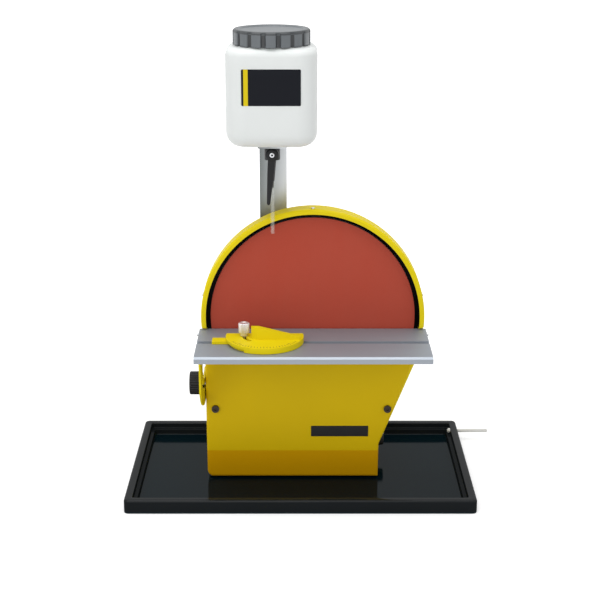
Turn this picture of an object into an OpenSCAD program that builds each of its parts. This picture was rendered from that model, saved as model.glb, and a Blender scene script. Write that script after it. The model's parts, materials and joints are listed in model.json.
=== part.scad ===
// Benchtop disc sander with table, mitre gauge, water bottle and drip tray.
// Millimetres, +Z up, -Y to the operator. The origin is the middle of the tray's underside.

/* [Tray] */
// Width of the drip tray
tray_w = 422; // [340:1:520]
// Depth of the drip tray
tray_d = 249; // [220:1:300]
// Height of the tray's rim
tray_h = 17; // [15:0.5:30]
// Sheet thickness of the tray
tray_wall = 2; // [1.5:0.1:3]
// Width of the flat rim
rim_w = 9.5; // [8:0.5:16]
// Width of the step below the rim
step_w = 5; // [5:0.5:12]
// Height of the step
step_z = 9.5; // [8:0.5:13]
// Outer corner radius of the tray
tray_r = 6; // [4:0.5:9]

/* [Drain] */
// Outside diameter of the drain spout
spout_d = 4.4; // [4:0.1:7]
// Length of spout that stands out of the tray
spout_out = 40; // [25:1:60]
// Wall of the spout
spout_wall = 0.8; // [0.6:0.1:1.6]

/* [Disc] */
// Diameter of the abrasive disc
disc_d = 250; // [200:1:254]
// Height of the disc's axis above the bench
axis_z = 210.5; // [208:0.5:230]
// Sideways place of the disc's axis
axis_x = 15; // [0:0.5:30]
// Place of the abrasive face
face_y = -12; // [-20:0.5:-5]
// Thickness of the abrasive sheet
abrasive_t = 1.2; // [0.6:0.1:2]
// Thickness of the backing disc
backing_t = 8; // [6:0.5:10]

/* [Housing] */
// Outside diameter of the guard drum
drum_d = 273; // [268:1:290]
// Width of the guard's front lip
lip_w = 6.5; // [4:0.5:7]
// Thickness of the guard's front lip
lip_t = 12; // [3:0.5:14]
// How far the guard's lip stands before the abrasive face
lip_out = 8; // [4:0.5:10]
// Depth of the drum behind the abrasive face
drum_depth = 20; // [18:1:48]
// Wall of the casting
wall = 3; // [2:0.1:4]
// Left side of the pedestal
body_left = -116.5; // [-119:0.1:-112]
// Right side of the pedestal
body_right = 97.4; // [85:0.1:105]
// Height at which the right side starts to lean out
kink_z = 49; // [40:1:60]
// Underside of the pedestal above the bench
body_z = 4; // [4:0.5:6]
// Rear end of the pedestal
body_back = 86; // [80:1:96]
// Radius of the rear drive column
column_r = 56; // [54:0.5:62]
// Shoulder height of the drive column
shoulder_z = 92; // [84:1:110]

/* [Front cover] */
// Distance from the abrasive face to the cover's front
cover_gap = 19; // [17:0.5:24]
// Thickness of the cover sheet
cover_t = 2; // [1.5:0.1:3]
// Height of the cover's top edge
cover_top = 168; // [150:1:170]
// Height of the bend in the cover
crease_z = 41; // [30:1:46]
// How far the lower strip leans back
lean = 3.5; // [2:0.5:8]
// Corner radius at the lower left
cover_r = 8; // [2:0.5:9]
// Height of the cover screws
cover_screw_z = 97; // [80:1:120]
// Distance of the left screw from the body's side
screw_in_left = 11.5; // [9:0.1:20]
// Distance of the right screw from the leaning edge
screw_in_right = 8.9; // [6:0.1:12]
// Width of the plain plate
plate_w = 71; // [40:1:80]
// Height of the plain plate
plate_h = 14; // [8:0.5:20]

/* [Table] */
// Width of the table
table_w = 277; // [270:1:300]
// Depth of the table
table_d = 105; // [95:1:120]
// Thickness of the table
table_t = 8; // [7:0.5:10]
// Height of the table's top
table_z = 196; // [190:0.5:200]
// Gap between the table and the abrasive
table_gap = 2.5; // [2:0.1:4]
// Width of the gauge groove
groove_w = 8; // [6:0.5:10]
// Depth of the gauge groove
groove_d = 4; // [3:0.5:4.5]
// Radius of the clamp slot about the table's pivot
slot_r = 65; // [64:0.5:72]
// Radius of the clamp stud
stud_r = 3; // [2.5:0.1:3.5]
// Diameter of the clamp knob
knob_d = 29; // [20:1:32]
// Length of the clamp knob
knob_l = 16; // [9:0.5:18]
// Tilt of the table, downwards
tilt_down = 50; // [30:1:50]
// Tilt of the table, upwards
tilt_up = 10; // [0:1:10]

/* [Mitre gauge] */
// Radius of the half-round head
head_r = 46.5; // [38:0.5:48]
// Sideways place of the head's pivot
head_x = -42.5; // [-60:0.5:0]
// Distance of the bar's middle from the table's front
bar_from_front = 53.5; // [48:0.5:58]
// Width of the bar
bar_w = 15; // [12:0.5:16]
// Height of the bar above the table
bar_h = 3.5; // [3:0.5:5]
// Reach of the bar to the left of the pivot
bar_reach = 62.5; // [55:0.5:75]
// Height of the head above the table
head_h = 7.5; // [7:0.5:10]
// Height of the raised grip at its tall end
grip_h = 15; // [8:0.5:18]
// Diameter of the knurled knob
gauge_knob_d = 13; // [10:0.5:16]
// Height of the knurled knob
gauge_knob_h = 16; // [10:0.5:18]

/* [Water kit] */
// Width of the bottle
bottle_w = 105; // [96:1:112]
// Depth of the bottle
bottle_d = 92; // [92:1:100]
// Height of the bottle's body
bottle_h = 113; // [90:1:140]
// Wall of the bottle
bottle_wall = 1.6; // [1.2:0.1:2.2]
// Underside of the bottle above the bench
bottle_z = 429; // [410:1:440]
// Sideways place of the bottle, tap and post
water_x = -33; // [-40:0.5:-30]
// Diameter of the lid
lid_d = 89; // [84:0.5:91]
// Height of the lid
lid_h = 17.5; // [15:0.5:24]
// Width of the post
post_w = 33; // [26:1:36]
// Thickness of the post
post_t = 4; // [3:0.5:5]
// Diameter of the tap body
tap_d = 18.6; // [17:0.1:22]
// Length of the tap lever
lever_l = 60; // [40:1:66]
// Outside diameter of the drip pipe
pipe_d = 5; // [4.4:0.1:6]
// Height of the pipe's lower end above the disc's axis
pipe_end = 108.5; // [100:0.5:115]

/* [Drive] */
// Radius of the spindle
spindle_r = 7.5; // [6:0.1:8]
// Radius of the spindle pulley
big_r = 45; // [40:0.5:46]
// Radius of the motor pulley
small_r = 12; // [10:0.5:14]
// Height of the motor's axis above the bench
motor_z = 46; // [44:0.5:48]
// Radius of the motor can
motor_r = 32; // [26:0.5:33]
// Length of the motor can
motor_l = 58; // [56:1:68]
// Diameter of the dust port
port_d = 35; // [30:0.5:40]

/* [Hidden] */
$fn = 48;

// Overrun of every cut past the face that it opens
over = 1;
// Running clearance of a shaft, on the radius
run = 0.05;
// Gap between pieces that pass each other
pass = 0.3;
// Clearance of a fixed pin in its hole, on the radius
seat = 0.02;

// Colours
paint = [0.75, 0.62, 0.03];
black = [0.07, 0.07, 0.08];
steel = [0.62, 0.63, 0.65];
alu = [0.78, 0.79, 0.80];
dark = [0.16, 0.15, 0.15];
pale = [0.86, 0.87, 0.86];

// Draws a 2D shape in X and Z, from y0 back to y1
module slab_y(y0, y1) {
    translate([0, y1, 0]) rotate([90, 0, 0]) linear_extrude(y1 - y0) children();
}

// Draws a 2D shape in Y and Z, from x0 to x1
module slab_x(x0, x1) {
    translate([x0, 0, 0]) rotate([90, 0, 90]) linear_extrude(x1 - x0) children();
}

// A rod along Y from a point, towards +Y
module rod_y(at, r, l) {
    translate(at) rotate([-90, 0, 0]) cylinder(h = l, r = r);
}

// A rod along X from a point, towards +X
module rod_x(at, r, l) {
    translate(at) rotate([0, 90, 0]) cylinder(h = l, r = r);
}

// A rod along Z from a point, upwards
module rod_z(at, r, l) {
    translate(at) cylinder(h = l, r = r);
}

// A rectangle about the origin with round corners
module round_rect(w, d, r) {
    square([w - 2 * r, d], center = true);
    square([w, d - 2 * r], center = true);
    for (sx = [-1, 1], sy = [-1, 1]) translate([sx * (w / 2 - r), sy * (d / 2 - r)]) circle(r);
}

// TRAY
well_share = 0.625;
well_r = tray_r * well_share;
well_inset = rim_w + step_w;
floor_z = tray_wall;
drain_nut_edge = 1;
drain_nut_r = spout_d / 2 + drain_nut_edge;
drain_nut_t = 3;
drain_in = 12.3;
drain_x = tray_w / 2 - rim_w;
drain_y = tray_d / 2 - well_inset - drain_in;
drain_z = step_z + drain_nut_r + pass;
spout_in_r = spout_d / 2 - spout_wall / 4;

module tray_slice(inset, r, z0, z1) {
    translate([0, 0, z0]) linear_extrude(z1 - z0) round_rect(tray_w - 2 * inset, tray_d - 2 * inset, r);
}

module tray() {
    color(black) difference() {
        tray_slice(0, tray_r, 0, tray_h);
        tray_slice(rim_w, well_r, step_z, tray_h + over);
        tray_slice(well_inset, well_r, floor_z, step_z + over);
        difference() {
            tray_slice(tray_wall, tray_r - tray_wall, -over, step_z - tray_wall);
            tray_slice(well_inset - tray_wall, well_r + tray_wall, -2 * over, tray_h);
        }
        difference() {
            tray_slice(tray_wall, tray_r - tray_wall, -over, tray_h - tray_wall);
            tray_slice(rim_w - tray_wall, well_r + tray_wall, -2 * over, tray_h);
        }
        rod_x([drain_x - over, drain_y, drain_z], spout_in_r + seat, rim_w + 2 * over);
    }
}

module drain_spout() {
    color(pale) difference() {
        union() {
            rod_x([drain_x - drain_nut_t - spout_wall, drain_y, drain_z], spout_in_r,
                rim_w + spout_out / 2 + drain_nut_t + spout_wall);
            rod_x([tray_w / 2, drain_y, drain_z], spout_d / 2, spout_out);
        }
        rod_x([drain_x - drain_nut_t - spout_wall - over, drain_y, drain_z], spout_d / 2 - spout_wall,
            rim_w + spout_out + drain_nut_t + spout_wall + 2 * over);
    }
}

module drain_nut() {
    color(pale) difference() {
        rod_x([drain_x - drain_nut_t, drain_y, drain_z], drain_nut_r, drain_nut_t);
        rod_x([drain_x - drain_nut_t - over, drain_y, drain_z], spout_in_r + seat, drain_nut_t + 2 * over);
    }
}

// HOUSING
drum_r = drum_d / 2;
cover_y = face_y - cover_gap;
cast_y = cover_y + cover_t;
drum_back = face_y + drum_depth;
ring_front = face_y - lip_out;
drum_round = 4;
lip_clear = 2.5;
web_extra = 1;
web_t = wall + web_extra;
web_y = drum_back - web_t;
tuck = 0.3;
side_r = drum_r - tuck;
kink_at = [body_right - axis_x, kink_z - axis_z];
lean_angle = atan2(kink_at[1], kink_at[0]) + acos(side_r / norm(kink_at));
side_n = [cos(lean_angle), sin(lean_angle)];
axis_at = [axis_x, axis_z];

// Height at which the leaning side, moved in by a wall, meets the upright side moved in as much
function kink_in(i) = (side_n * axis_at + side_r - i - side_n[0] * (body_right - i)) / side_n[1];

// X of the leaning side at a height
function side_x(z) = (side_n * axis_at + side_r - side_n[1] * z) / side_n[0];

// Points of a quarter round at the lower left corner
function corner(x, z, r) = [for (a = [180:15:270]) [x + r + r * cos(a), z + r + r * sin(a)]];

// The pedestal seen from the front, moved in by i, with its lower edge at z0
module pedestal(i, z0) {
    polygon(concat(
        corner(body_left + i, z0, cover_r),
        [[body_right - i, z0], [body_right - i, kink_in(i)], axis_at + (side_r - i) * side_n,
        axis_at, [body_left + i, axis_z]]));
}

// The rear column seen from behind, moved in by i
module column(i, z0) {
    polygon([[body_left + i, z0], [body_right - i, z0], [body_right - i, kink_z - i],
        [axis_x + column_r - i - 3 * tuck, axis_z + 2 * wall],
        [axis_x - column_r + i + 3 * tuck, axis_z + 2 * wall], [body_left + i, shoulder_z - i]]);
    translate(axis_at) circle(column_r - i);
}

// Everything behind the bent front sheet, moved back by t
module behind_cover(t) {
    slab_x(-tray_w, tray_w) polygon([[cover_y + t, axis_z * 2], [cover_y + t, crease_z],
        [cover_y + t + lean, body_z], [cover_y + t + lean, -axis_z], [tray_d, -axis_z], [tray_d,
            axis_z * 2]]);
}

// Everything below a height
module below(z) {
    translate([-tray_w, -tray_d, -axis_z]) cube([2 * tray_w, 2 * tray_d, z + axis_z]);
}

pivot_drop = 6;
pivot_y = face_y - table_gap - table_t / 2;
pivot_z = table_z - pivot_drop;
table_x0 = axis_x - table_w / 2;
table_x1 = axis_x + table_w / 2;
table_low = table_z - table_t;
ear_t = 3.5;
ear_in = 2.5;
ear_r = 3.8;
ear_arm = 2.6;
ear_root = 2;
ear_x0 = ear_in - drum_r;
ear_x1 = ear_x0 + ear_t;
pin_r = 2;
pin_stub = 3.5;
pin_in = 5;
pin_x0 = min(ear_x0, -table_w / 2) - pin_stub;
pin_x1 = max(ear_x1, -table_w / 2) + pin_in;
stud_turn = 93;
stud_y = pivot_y - slot_r * cos(stud_turn);
stud_z = pivot_z - slot_r * sin(stud_turn);
boss_h = 0.8;
lip_round = 2;
screw_r = 2.5;
screw_head_r = 4.6;
screw_head_t = 3;
boss_r = 5;
boss_l = 16;
screw_left = [body_left + screw_in_left, cover_screw_z];
screw_right = [side_x(cover_screw_z) - screw_in_right, cover_screw_z];
block_r = 24;
block_flange_r = 34;
block_pitch = 29;
spindle_hole = spindle_r + wall;
passage_gap = 3;
passage_w = 2 * (motor_r + passage_gap);
passage_z = motor_z + motor_r + passage_gap;
post_pitch = 36;
post_gap = 6;
post_low = axis_z + column_r + post_gap;
post_edge = 12;
post_screw_z = post_low + post_edge;
post_boss_r = 6;
pipe_gap = 1.5;
bottle_gap = 2;
tap_y = ring_front - pipe_d / 2 - pipe_gap;
bottle_y = tap_y;
post_y = tap_y + bottle_d / 2 + bottle_gap;
guard_screw_r = 1.2;
guard_head_r = 2.2;
guard_head_t = 1.6;
guard_screw_l = 4;
guard_screw_y = ring_front + lip_t / 2;
guard_turns = [12.5, 90, 167.5];
rear_t = 2.5;
rear_screw_r = 2;
rear_lug_r = 4.5;
rear_lug_l = 9;
rear_in = wall + rear_screw_r + pass;
rear_low = 22;
rear_at = [[body_left + rear_in, body_z + rear_low], [body_right - rear_in, kink_z - rear_in],
    [body_left + rear_in, shoulder_z - 3 * rear_in], [axis_x, axis_z + column_r - rear_in]];
switch_y = 66;
dial_y = 37;
controls_z = 28;
switch_w = 26;
switch_h = 18;
dial_r = 11;
pot_r = 3;
pot_gap = 1;

// Draws a left-hand piece about the disc's axis, and its mirror image on the right
module both_ends() {
    for (m = [0, 1]) translate([axis_x, 0, 0]) mirror([m, 0, 0]) children();
}

// A rod that points away from the disc's axis, from radius r0 outwards
module rod_out(a, y, r0, r, l) {
    translate([axis_x, y, axis_z]) rotate([0, -a, 0]) translate([r0, 0, 0]) rotate([0, 90,
        0]) cylinder(h = l, r = r);
}

// An ear on the guard's lip that holds a pivot pin under the table
module ear() {
    slab_x(ear_x0, ear_x1) {
        translate([pivot_y, pivot_z]) circle(ear_r);
        translate([pivot_y, pivot_z - ear_arm]) square([face_y + ear_root - pivot_y, 2 * ear_arm]);
    }
}

// The drum, with its lip cut back to the abrasive face behind the table
module drum_shape() {
    difference() {
        translate([axis_x, 0, axis_z]) rotate([-90, 0, 0]) rotate_extrude($fn = 96)
            polygon([[0, ring_front], [drum_r - lip_round, ring_front], [drum_r, ring_front + lip_round],
                [drum_r, drum_back - drum_round], [drum_r - drum_round, drum_back], [0, drum_back]]);
        translate([-tray_w, ring_front - over, -axis_z])
            cube([2 * tray_w, lip_out + over, axis_z + table_z + lip_clear]);
    }
}

module housing() {
    color(paint) difference() {
        union() {
            drum_shape();
            intersection() {
                slab_y(cast_y, drum_back) pedestal(0, body_z);
                behind_cover(cover_t);
                union() {
                    below(cover_top);
                    translate([-tray_w, face_y, -axis_z]) cube([2 * tray_w, tray_d, 3 * axis_z]);
                }
            }
            slab_y(drum_back - over, body_back) column(0, body_z);
            both_ends() ear();
            rod_x([body_left - boss_h, stud_y, stud_z], 2 * stud_r, boss_h + wall / 2);
            for (k = [0, 1]) rod_y([water_x, web_y, post_screw_z + k * post_pitch], post_boss_r,
                post_y - web_y);
        }
        translate([axis_x, 0, axis_z]) rod_y([0, ring_front + lip_t, 0], drum_r - wall,
            web_y - ring_front - lip_t);
        translate([axis_x, 0, axis_z]) rod_y([0, ring_front - over, 0], drum_r - lip_w, lip_t + 2 * over);
        difference() {
            slab_y(cover_y - over, web_y) pedestal(wall, -body_z);
            for (s = [screw_left, screw_right]) rod_y([s[0], cover_y, s[1]], boss_r, boss_l);
            translate([body_left, cover_y, cover_screw_z - screw_r])
                cube([screw_in_left, boss_l, 2 * screw_r]);
        }
        difference() {
            slab_y(drum_back, body_back + over) column(wall, -body_z);
            for (s = rear_at) rod_y([s[0], body_back - rear_lug_l, s[1]], rear_lug_r, rear_lug_l);
        }
        for (s = rear_at) rod_y([s[0], body_back - rear_lug_l - over, s[1]], rear_screw_r + seat,
            rear_lug_l + 2 * over);
        for (a = guard_turns) {
            rod_out(a, guard_screw_y, drum_r - guard_screw_l - over, guard_screw_r + seat,
                guard_screw_l + 2 * over);
            rod_out(a, guard_screw_y, drum_r - tuck, guard_head_r + pass, guard_head_t);
        }
        rod_y([axis_x, web_y - over, axis_z], spindle_hole, web_t + 2 * over);
        translate([axis_x - passage_w / 2, web_y - over, -body_z])
            cube([passage_w, web_t + 2 * over, passage_z + body_z]);
        translate([body_left + wall, web_y - over, -body_z])
            cube([body_right - body_left - 2 * wall, web_t + 2 * over, 2 * body_z + base_t]);
        for (s = [screw_left, screw_right]) rod_y([s[0], cover_y - over, s[1]], screw_r + seat,
            boss_l + over);
        for (a = [45:90:315]) rod_y([axis_x + block_pitch * cos(a), web_y - over,
            axis_z + block_pitch * sin(a)],
            screw_r + seat, web_t + 2 * over);
        both_ends() rod_x([ear_x0 - over, pivot_y, pivot_z], pin_r + seat, ear_t + 2 * over);
        rod_x([body_left - boss_h - over, stud_y, stud_z], stud_r + seat, boss_h + wall + 2 * over);
        for (k = [0, 1]) rod_y([water_x, web_y - over, post_screw_z + k * post_pitch], screw_r + seat,
            post_y - web_y + 2 * over);
        translate([body_right - wall - over, switch_y - switch_w / 2, controls_z - switch_h / 2])
            cube([wall + 2 * over, switch_w, switch_h]);
        rod_x([body_right - wall - over, dial_y, controls_z], pot_r + pot_gap, wall + 2 * over);
    }
}

module guard_screws() {
    color(steel) for (a = guard_turns) {
        rod_out(a, guard_screw_y, drum_r - guard_screw_l, guard_screw_r, guard_screw_l);
        rod_out(a, guard_screw_y, drum_r - tuck, guard_head_r, guard_head_t);
    }
}

module front_cover() {
    color(paint) difference() {
        intersection() {
            slab_y(cover_y, cast_y + lean) pedestal(0, body_z);
            below(cover_top);
            difference() {
                behind_cover(0);
                behind_cover(cover_t);
            }
        }
        for (s = [screw_left, screw_right]) rod_y([s[0], cover_y - over, s[1]], screw_r + seat,
            cover_t + 2 * over);
    }
}

// A screw along Y whose head stands before y and whose shank runs back from it
module screw_y(at, r, l, head_r, head_t, socket_r) {
    difference() {
        union() {
            rod_y(at, r, l);
            rod_y([at[0], at[1] - head_t, at[2]], head_r, head_t);
        }
        translate([at[0], at[1] - head_t, at[2]]) rotate([-90, 0, 0])
            translate([0, 0, -over]) cylinder(h = head_t / 2 + over, r = socket_r, $fn = 6);
    }
}

module cover_screws() {
    color(dark) for (s = [screw_left, screw_right])
        screw_y([s[0], cover_y, s[1]], screw_r, boss_l - wall, screw_head_r, screw_head_t, screw_head_r / 2);
}

plate_t = 0.8;
plate_right_share = 0.84;
plate_z_share = 0.467;
plate_x = axis_x + (body_right - axis_x) * plate_right_share - plate_w;
plate_z = crease_z + (cover_screw_z - crease_z) * plate_z_share;

module name_plate() {
    color(black) translate([plate_x, cover_y - plate_t, plate_z - plate_h / 2]) cube([plate_w, plate_t,
        plate_h]);
}

base_t = 2;
base_edge = wall + pass;
base_y0 = cast_y + lean + pass;
base_y1 = body_back - pass;
foot_h = body_z - floor_z;
foot_r = 8;
foot_in = 14;
foot_screw_r = 2;
feet_at = [for (x = [body_left + base_edge + foot_in, body_right - base_edge - foot_in],
    y = [base_y0 + foot_in, base_y1 - foot_in]) [x, y]];

module base_plate() {
    color(steel) difference() {
        translate([body_left + base_edge, base_y0, body_z])
            cube([body_right - body_left - 2 * base_edge, base_y1 - base_y0, base_t]);
        for (f = feet_at) rod_z([f[0], f[1], body_z - over], foot_screw_r + seat, base_t + 2 * over);
    }
}

module rubber_feet() {
    color(dark) for (f = feet_at) difference() {
        rod_z([f[0], f[1], floor_z], foot_r, foot_h);
        rod_z([f[0], f[1], floor_z - over], foot_screw_r * 2 + seat, foot_h / 2 + over);
        rod_z([f[0], f[1], floor_z], foot_screw_r + seat, foot_h + over);
    }
}

module foot_screws() {
    color(steel) for (f = feet_at) {
        rod_z([f[0], f[1], floor_z + foot_h / 4], foot_screw_r * 2, foot_h / 4);
        rod_z([f[0], f[1], floor_z + foot_h / 2], foot_screw_r, foot_h / 2 + base_t + foot_screw_r);
    }
}

hose_room = 12;
port_x = body_left + port_d / 2 + 3 * rear_in;
port_z = tray_h + port_d / 2 + hose_room;
port_wall = 2;
port_l = 24;
gland_x = body_right - 4 * rear_in;
gland_z = controls_z;
gland_r = 6;
gland_nut_r = 9;
gland_l = 16;
vent_w = 3;
vent_h = 26;
vent_pitch = 8;
vent_count = 6;

module rear_cover() {
    color(paint) difference() {
        slab_y(body_back, body_back + rear_t) column(0, body_z);
        for (s = rear_at) rod_y([s[0], body_back - over, s[1]], rear_screw_r + seat, rear_t + 2 * over);
        rod_y([port_x, body_back - over, port_z], port_d / 2 - port_wall, rear_t + 2 * over);
        rod_y([gland_x, body_back - over, gland_z], gland_r + seat, rear_t + 2 * over);
        for (k = [0:vent_count - 1])
            translate([axis_x + (k - (vent_count - 1) / 2) * vent_pitch - vent_w / 2, body_back - over,
                motor_z - vent_h / 2]) cube([vent_w, rear_t + 2 * over, vent_h]);
    }
}

module rear_cover_screws() {
    color(dark) for (s = rear_at) mirror([0, 1, 0])
        screw_y([s[0], -body_back - rear_t, s[1]], rear_screw_r, rear_lug_l, rear_screw_r * 2, rear_screw_r,
            rear_screw_r);
}

module dust_port() {
    color(black) difference() {
        union() {
            rod_y([port_x, body_back + rear_t, port_z], port_d / 2, port_l);
            rod_y([port_x, body_back + rear_t, port_z], port_d / 2 + 2 * port_wall, port_wall);
        }
        rod_y([port_x, body_back + rear_t - over, port_z], port_d / 2 - port_wall, port_l + 2 * over);
    }
}

module cable_gland() {
    color(black) difference() {
        union() {
            rod_y([gland_x, body_back - rear_t, gland_z], gland_r, gland_l);
            translate([gland_x, body_back + rear_t, gland_z]) rotate([-90, 0, 0])
                cylinder(h = gland_l / 2, r = gland_nut_r, $fn = 6);
        }
        rod_y([gland_x, body_back - rear_t - over, gland_z], gland_r / 2, gland_l + 2 * over);
    }
}

module pivot_pins() {
    color(steel) both_ends() rod_x([pin_x0, pivot_y, pivot_z], pin_r, pin_x1 - pin_x0);
}

// DRIVE
bearing_wall = 9;
bearing_r = spindle_r + bearing_wall;
bearing_w = 9;
block_flange_t = 6;
block_l = 54;
block_front = drum_back;
bearing_in = 2;
front_bearing_y = block_front + bearing_in;
rear_bearing_y = block_front + block_l - bearing_w;
hub_r = 30;
hub_t = 6;
hub_y = face_y + abrasive_t + backing_t;
hub_pitch = 20;
pulley_gap = 2;
pulley_y = block_front + block_l + pulley_gap;
pulley_w = 12;
pulley_flange_t = 1.5;
pulley_flange = 2.5;
ring_w = 1.5;
ring_edge = 2.5;
ring_r = spindle_r + ring_edge;
spindle_end = pulley_y + pulley_w + 2 * ring_w;
belt_t = 2;
can_wall = 2.5;
shaft_r = 4;
cap_t = 5;
armature_gap = 4;
bracket_t = 3;
motor_gap = 1;
motor_back = pulley_y - bracket_t - motor_gap;
motor_y0 = motor_back - motor_l;
bracket_edge = 5;
bracket_foot = 14;
motor_screw_share = 0.7;
motor_screw_pitch = motor_r * motor_screw_share;

module bearing_block() {
    color(alu) difference() {
        union() {
            rod_y([axis_x, block_front, axis_z], block_r, block_l);
            rod_y([axis_x, block_front, axis_z], block_flange_r, block_flange_t);
        }
        rod_y([axis_x, block_front - over, axis_z], spindle_hole, block_l + 2 * over);
        rod_y([axis_x, front_bearing_y, axis_z], bearing_r + seat, bearing_w);
        rod_y([axis_x, block_front - over, axis_z], bearing_r + seat,
            front_bearing_y - block_front + 2 * over);
        rod_y([axis_x, rear_bearing_y, axis_z], bearing_r + seat, bearing_w + over);
        for (a = [45:90:315]) rod_y([axis_x + block_pitch * cos(a), block_front - over,
            axis_z + block_pitch * sin(a)], screw_r + seat, block_flange_t + 2 * over);
    }
}

module block_screws() {
    color(dark) for (a = [45:90:315]) mirror([0, 1, 0])
        screw_y([axis_x + block_pitch * cos(a), -block_front - block_flange_t, axis_z + block_pitch * sin(a)],
            screw_r, block_flange_t + web_t, screw_head_r, screw_head_t, screw_r);
}

// A bearing drawn as one closed ring from y back
module bearing(y) {
    color(steel) difference() {
        rod_y([axis_x, y, axis_z], bearing_r, bearing_w);
        rod_y([axis_x, y - over, axis_z], spindle_r + run, bearing_w + 2 * over);
    }
}

module front_bearing() { bearing(front_bearing_y); }

module rear_bearing() { bearing(rear_bearing_y); }

module spindle() {
    color(steel) difference() {
        union() {
            rod_y([axis_x, hub_y, axis_z], spindle_r, spindle_end - hub_y);
            rod_y([axis_x, hub_y, axis_z], hub_r, hub_t);
        }
        for (a = [90:120:330]) rod_y([axis_x + hub_pitch * cos(a), hub_y - over, axis_z + hub_pitch * sin(a)],
            screw_r + seat, hub_t + 2 * over);
    }
}

module retaining_ring() {
    color(dark) difference() {
        rod_y([axis_x, pulley_y + pulley_w, axis_z], ring_r, ring_w);
        rod_y([axis_x, pulley_y + pulley_w - over, axis_z], spindle_r + seat, ring_w + 2 * over);
    }
}

module backing_disc() {
    color(alu) difference() {
        rod_y([axis_x, face_y + abrasive_t, axis_z], disc_d / 2, backing_t);
        for (a = [90:120:330]) {
            at = [axis_x + hub_pitch * cos(a), face_y + abrasive_t, axis_z + hub_pitch * sin(a)];
            rod_y(at - [0, over, 0], screw_r + seat, backing_t + 2 * over);
            rod_y(at - [0, over, 0], screw_head_r + seat, screw_head_t + over);
        }
    }
}

module abrasive_disc() {
    color([0.66, 0.25, 0.20]) rod_y([axis_x, face_y, axis_z], disc_d / 2, abrasive_t);
}

module hub_screws() {
    color(dark) for (a = [90:120:330])
        screw_y([axis_x + hub_pitch * cos(a), face_y + abrasive_t + screw_head_t,
            axis_z + hub_pitch * sin(a)],
            screw_r, backing_t - screw_head_t + hub_t, screw_head_r, screw_head_t, screw_r);
}

// A flat pulley with two flanges round a shaft
module pulley(at, r, bore) {
    difference() {
        union() {
            rod_y(at, r, pulley_w);
            rod_y(at, r + pulley_flange, pulley_flange_t);
            rod_y(at + [0, pulley_w - pulley_flange_t, 0], r + pulley_flange, pulley_flange_t);
        }
        rod_y(at - [0, over, 0], bore + seat, pulley_w + 2 * over);
    }
}

module spindle_pulley() {
    color(black) pulley([axis_x, pulley_y, axis_z], big_r, spindle_r);
}

module motor_pulley() {
    color(steel) pulley([axis_x, pulley_y, motor_z], small_r, shaft_r);
}

// The two pulleys and the way between them, seen along the shafts
module belt_way(t) {
    hull() {
        translate([axis_x, axis_z]) circle(big_r + t, $fn = 64);
        translate([axis_x, motor_z]) circle(small_r + t, $fn = 64);
    }
}

module drive_belt() {
    color(dark) slab_y(pulley_y + pulley_flange_t + pass,
        pulley_y + pulley_w - pulley_flange_t - pass) difference() {
        belt_way(pass + belt_t);
        belt_way(pass);
    }
}

module motor_can() {
    color(steel) difference() {
        rod_y([axis_x, motor_y0, motor_z], motor_r, motor_l - cap_t);
        rod_y([axis_x, motor_y0 + can_wall, motor_z], motor_r - can_wall, motor_l);
        rod_y([axis_x, motor_y0 - over, motor_z], shaft_r + run, motor_l);
    }
}

module motor_end_cap() {
    color(black) difference() {
        rod_y([axis_x, motor_back - cap_t, motor_z], motor_r, cap_t);
        rod_y([axis_x, motor_back - cap_t - over, motor_z], shaft_r + run, cap_t + 2 * over);
        for (s = [-1, 1]) rod_y([axis_x + s * motor_screw_pitch, motor_back - cap_t - over, motor_z],
            screw_r + seat, cap_t + 2 * over);
    }
}

module motor_rotor() {
    color(alu) {
        rod_y([axis_x, motor_y0, motor_z], shaft_r, pulley_y + pulley_w - motor_y0);
        rod_y([axis_x, motor_y0 + can_wall + armature_gap, motor_z], motor_r - can_wall - armature_gap,
            motor_l - cap_t - can_wall - 2 * armature_gap);
    }
}

module motor_bracket() {
    color(steel) difference() {
        union() {
            translate([axis_x - motor_r - bracket_edge, motor_back, body_z + base_t])
                cube([2 * (motor_r + bracket_edge), bracket_t, motor_z + motor_r - body_z - base_t]);
            translate([axis_x - motor_r - bracket_edge, motor_back - bracket_foot + bracket_t,
                body_z + base_t])
                cube([2 * (motor_r + bracket_edge), bracket_foot, bracket_t]);
        }
        rod_y([axis_x, motor_back - over, motor_z], small_r, bracket_t + 2 * over);
        for (s = [-1, 1]) rod_y([axis_x + s * motor_screw_pitch, motor_back - over, motor_z], screw_r + seat,
            bracket_t + 2 * over);
    }
}

module motor_screws() {
    color(dark) for (s = [-1, 1]) mirror([0, 1, 0])
        screw_y([axis_x + s * motor_screw_pitch, -motor_back - bracket_t, motor_z], screw_r,
            bracket_t + cap_t,
            screw_head_r, screw_head_t, screw_r);
}

// CONTROLS
board_w = 58;
board_d = 44;
board_t = 1.6;
board_lift = 6;
board_side = 10;
board_front = 6;
board_x = body_left + wall + board_side;
board_y = drum_back + board_front;
board_z = body_z + base_t + board_lift;
part_places_shares = [[0.1, 0.15, 0.3, 0.25, 8], [0.55, 0.2, 0.3, 0.3, 12], [0.15, 0.6, 0.2, 0.25, 6],
    [0.5, 0.62, 0.36, 0.24, 5]];

module control_board() {
    color([0.1, 0.3, 0.16]) {
        translate([board_x, board_y, board_z]) cube([board_w, board_d, board_t]);
        for (x = [board_lift, board_w - board_lift], y = [board_lift, board_d - board_lift])
            rod_z([board_x + x, board_y + y, body_z + base_t], board_lift / 2, board_lift);
        for (p = part_places_shares)
            translate([board_x + p[0] * board_w, board_y + p[1] * board_d, board_z + board_t])
                cube([p[2] * board_w, p[3] * board_d, p[4] * board_t / 2]);
    }
}

frame_edge = 3;
frame_t = 2;
frame_wall = 1.5;
switch_deep = 20;
rocker_in = 6;
rocker_out = 3;
rocker_r = 2;
rocker_turn = 10;

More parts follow.
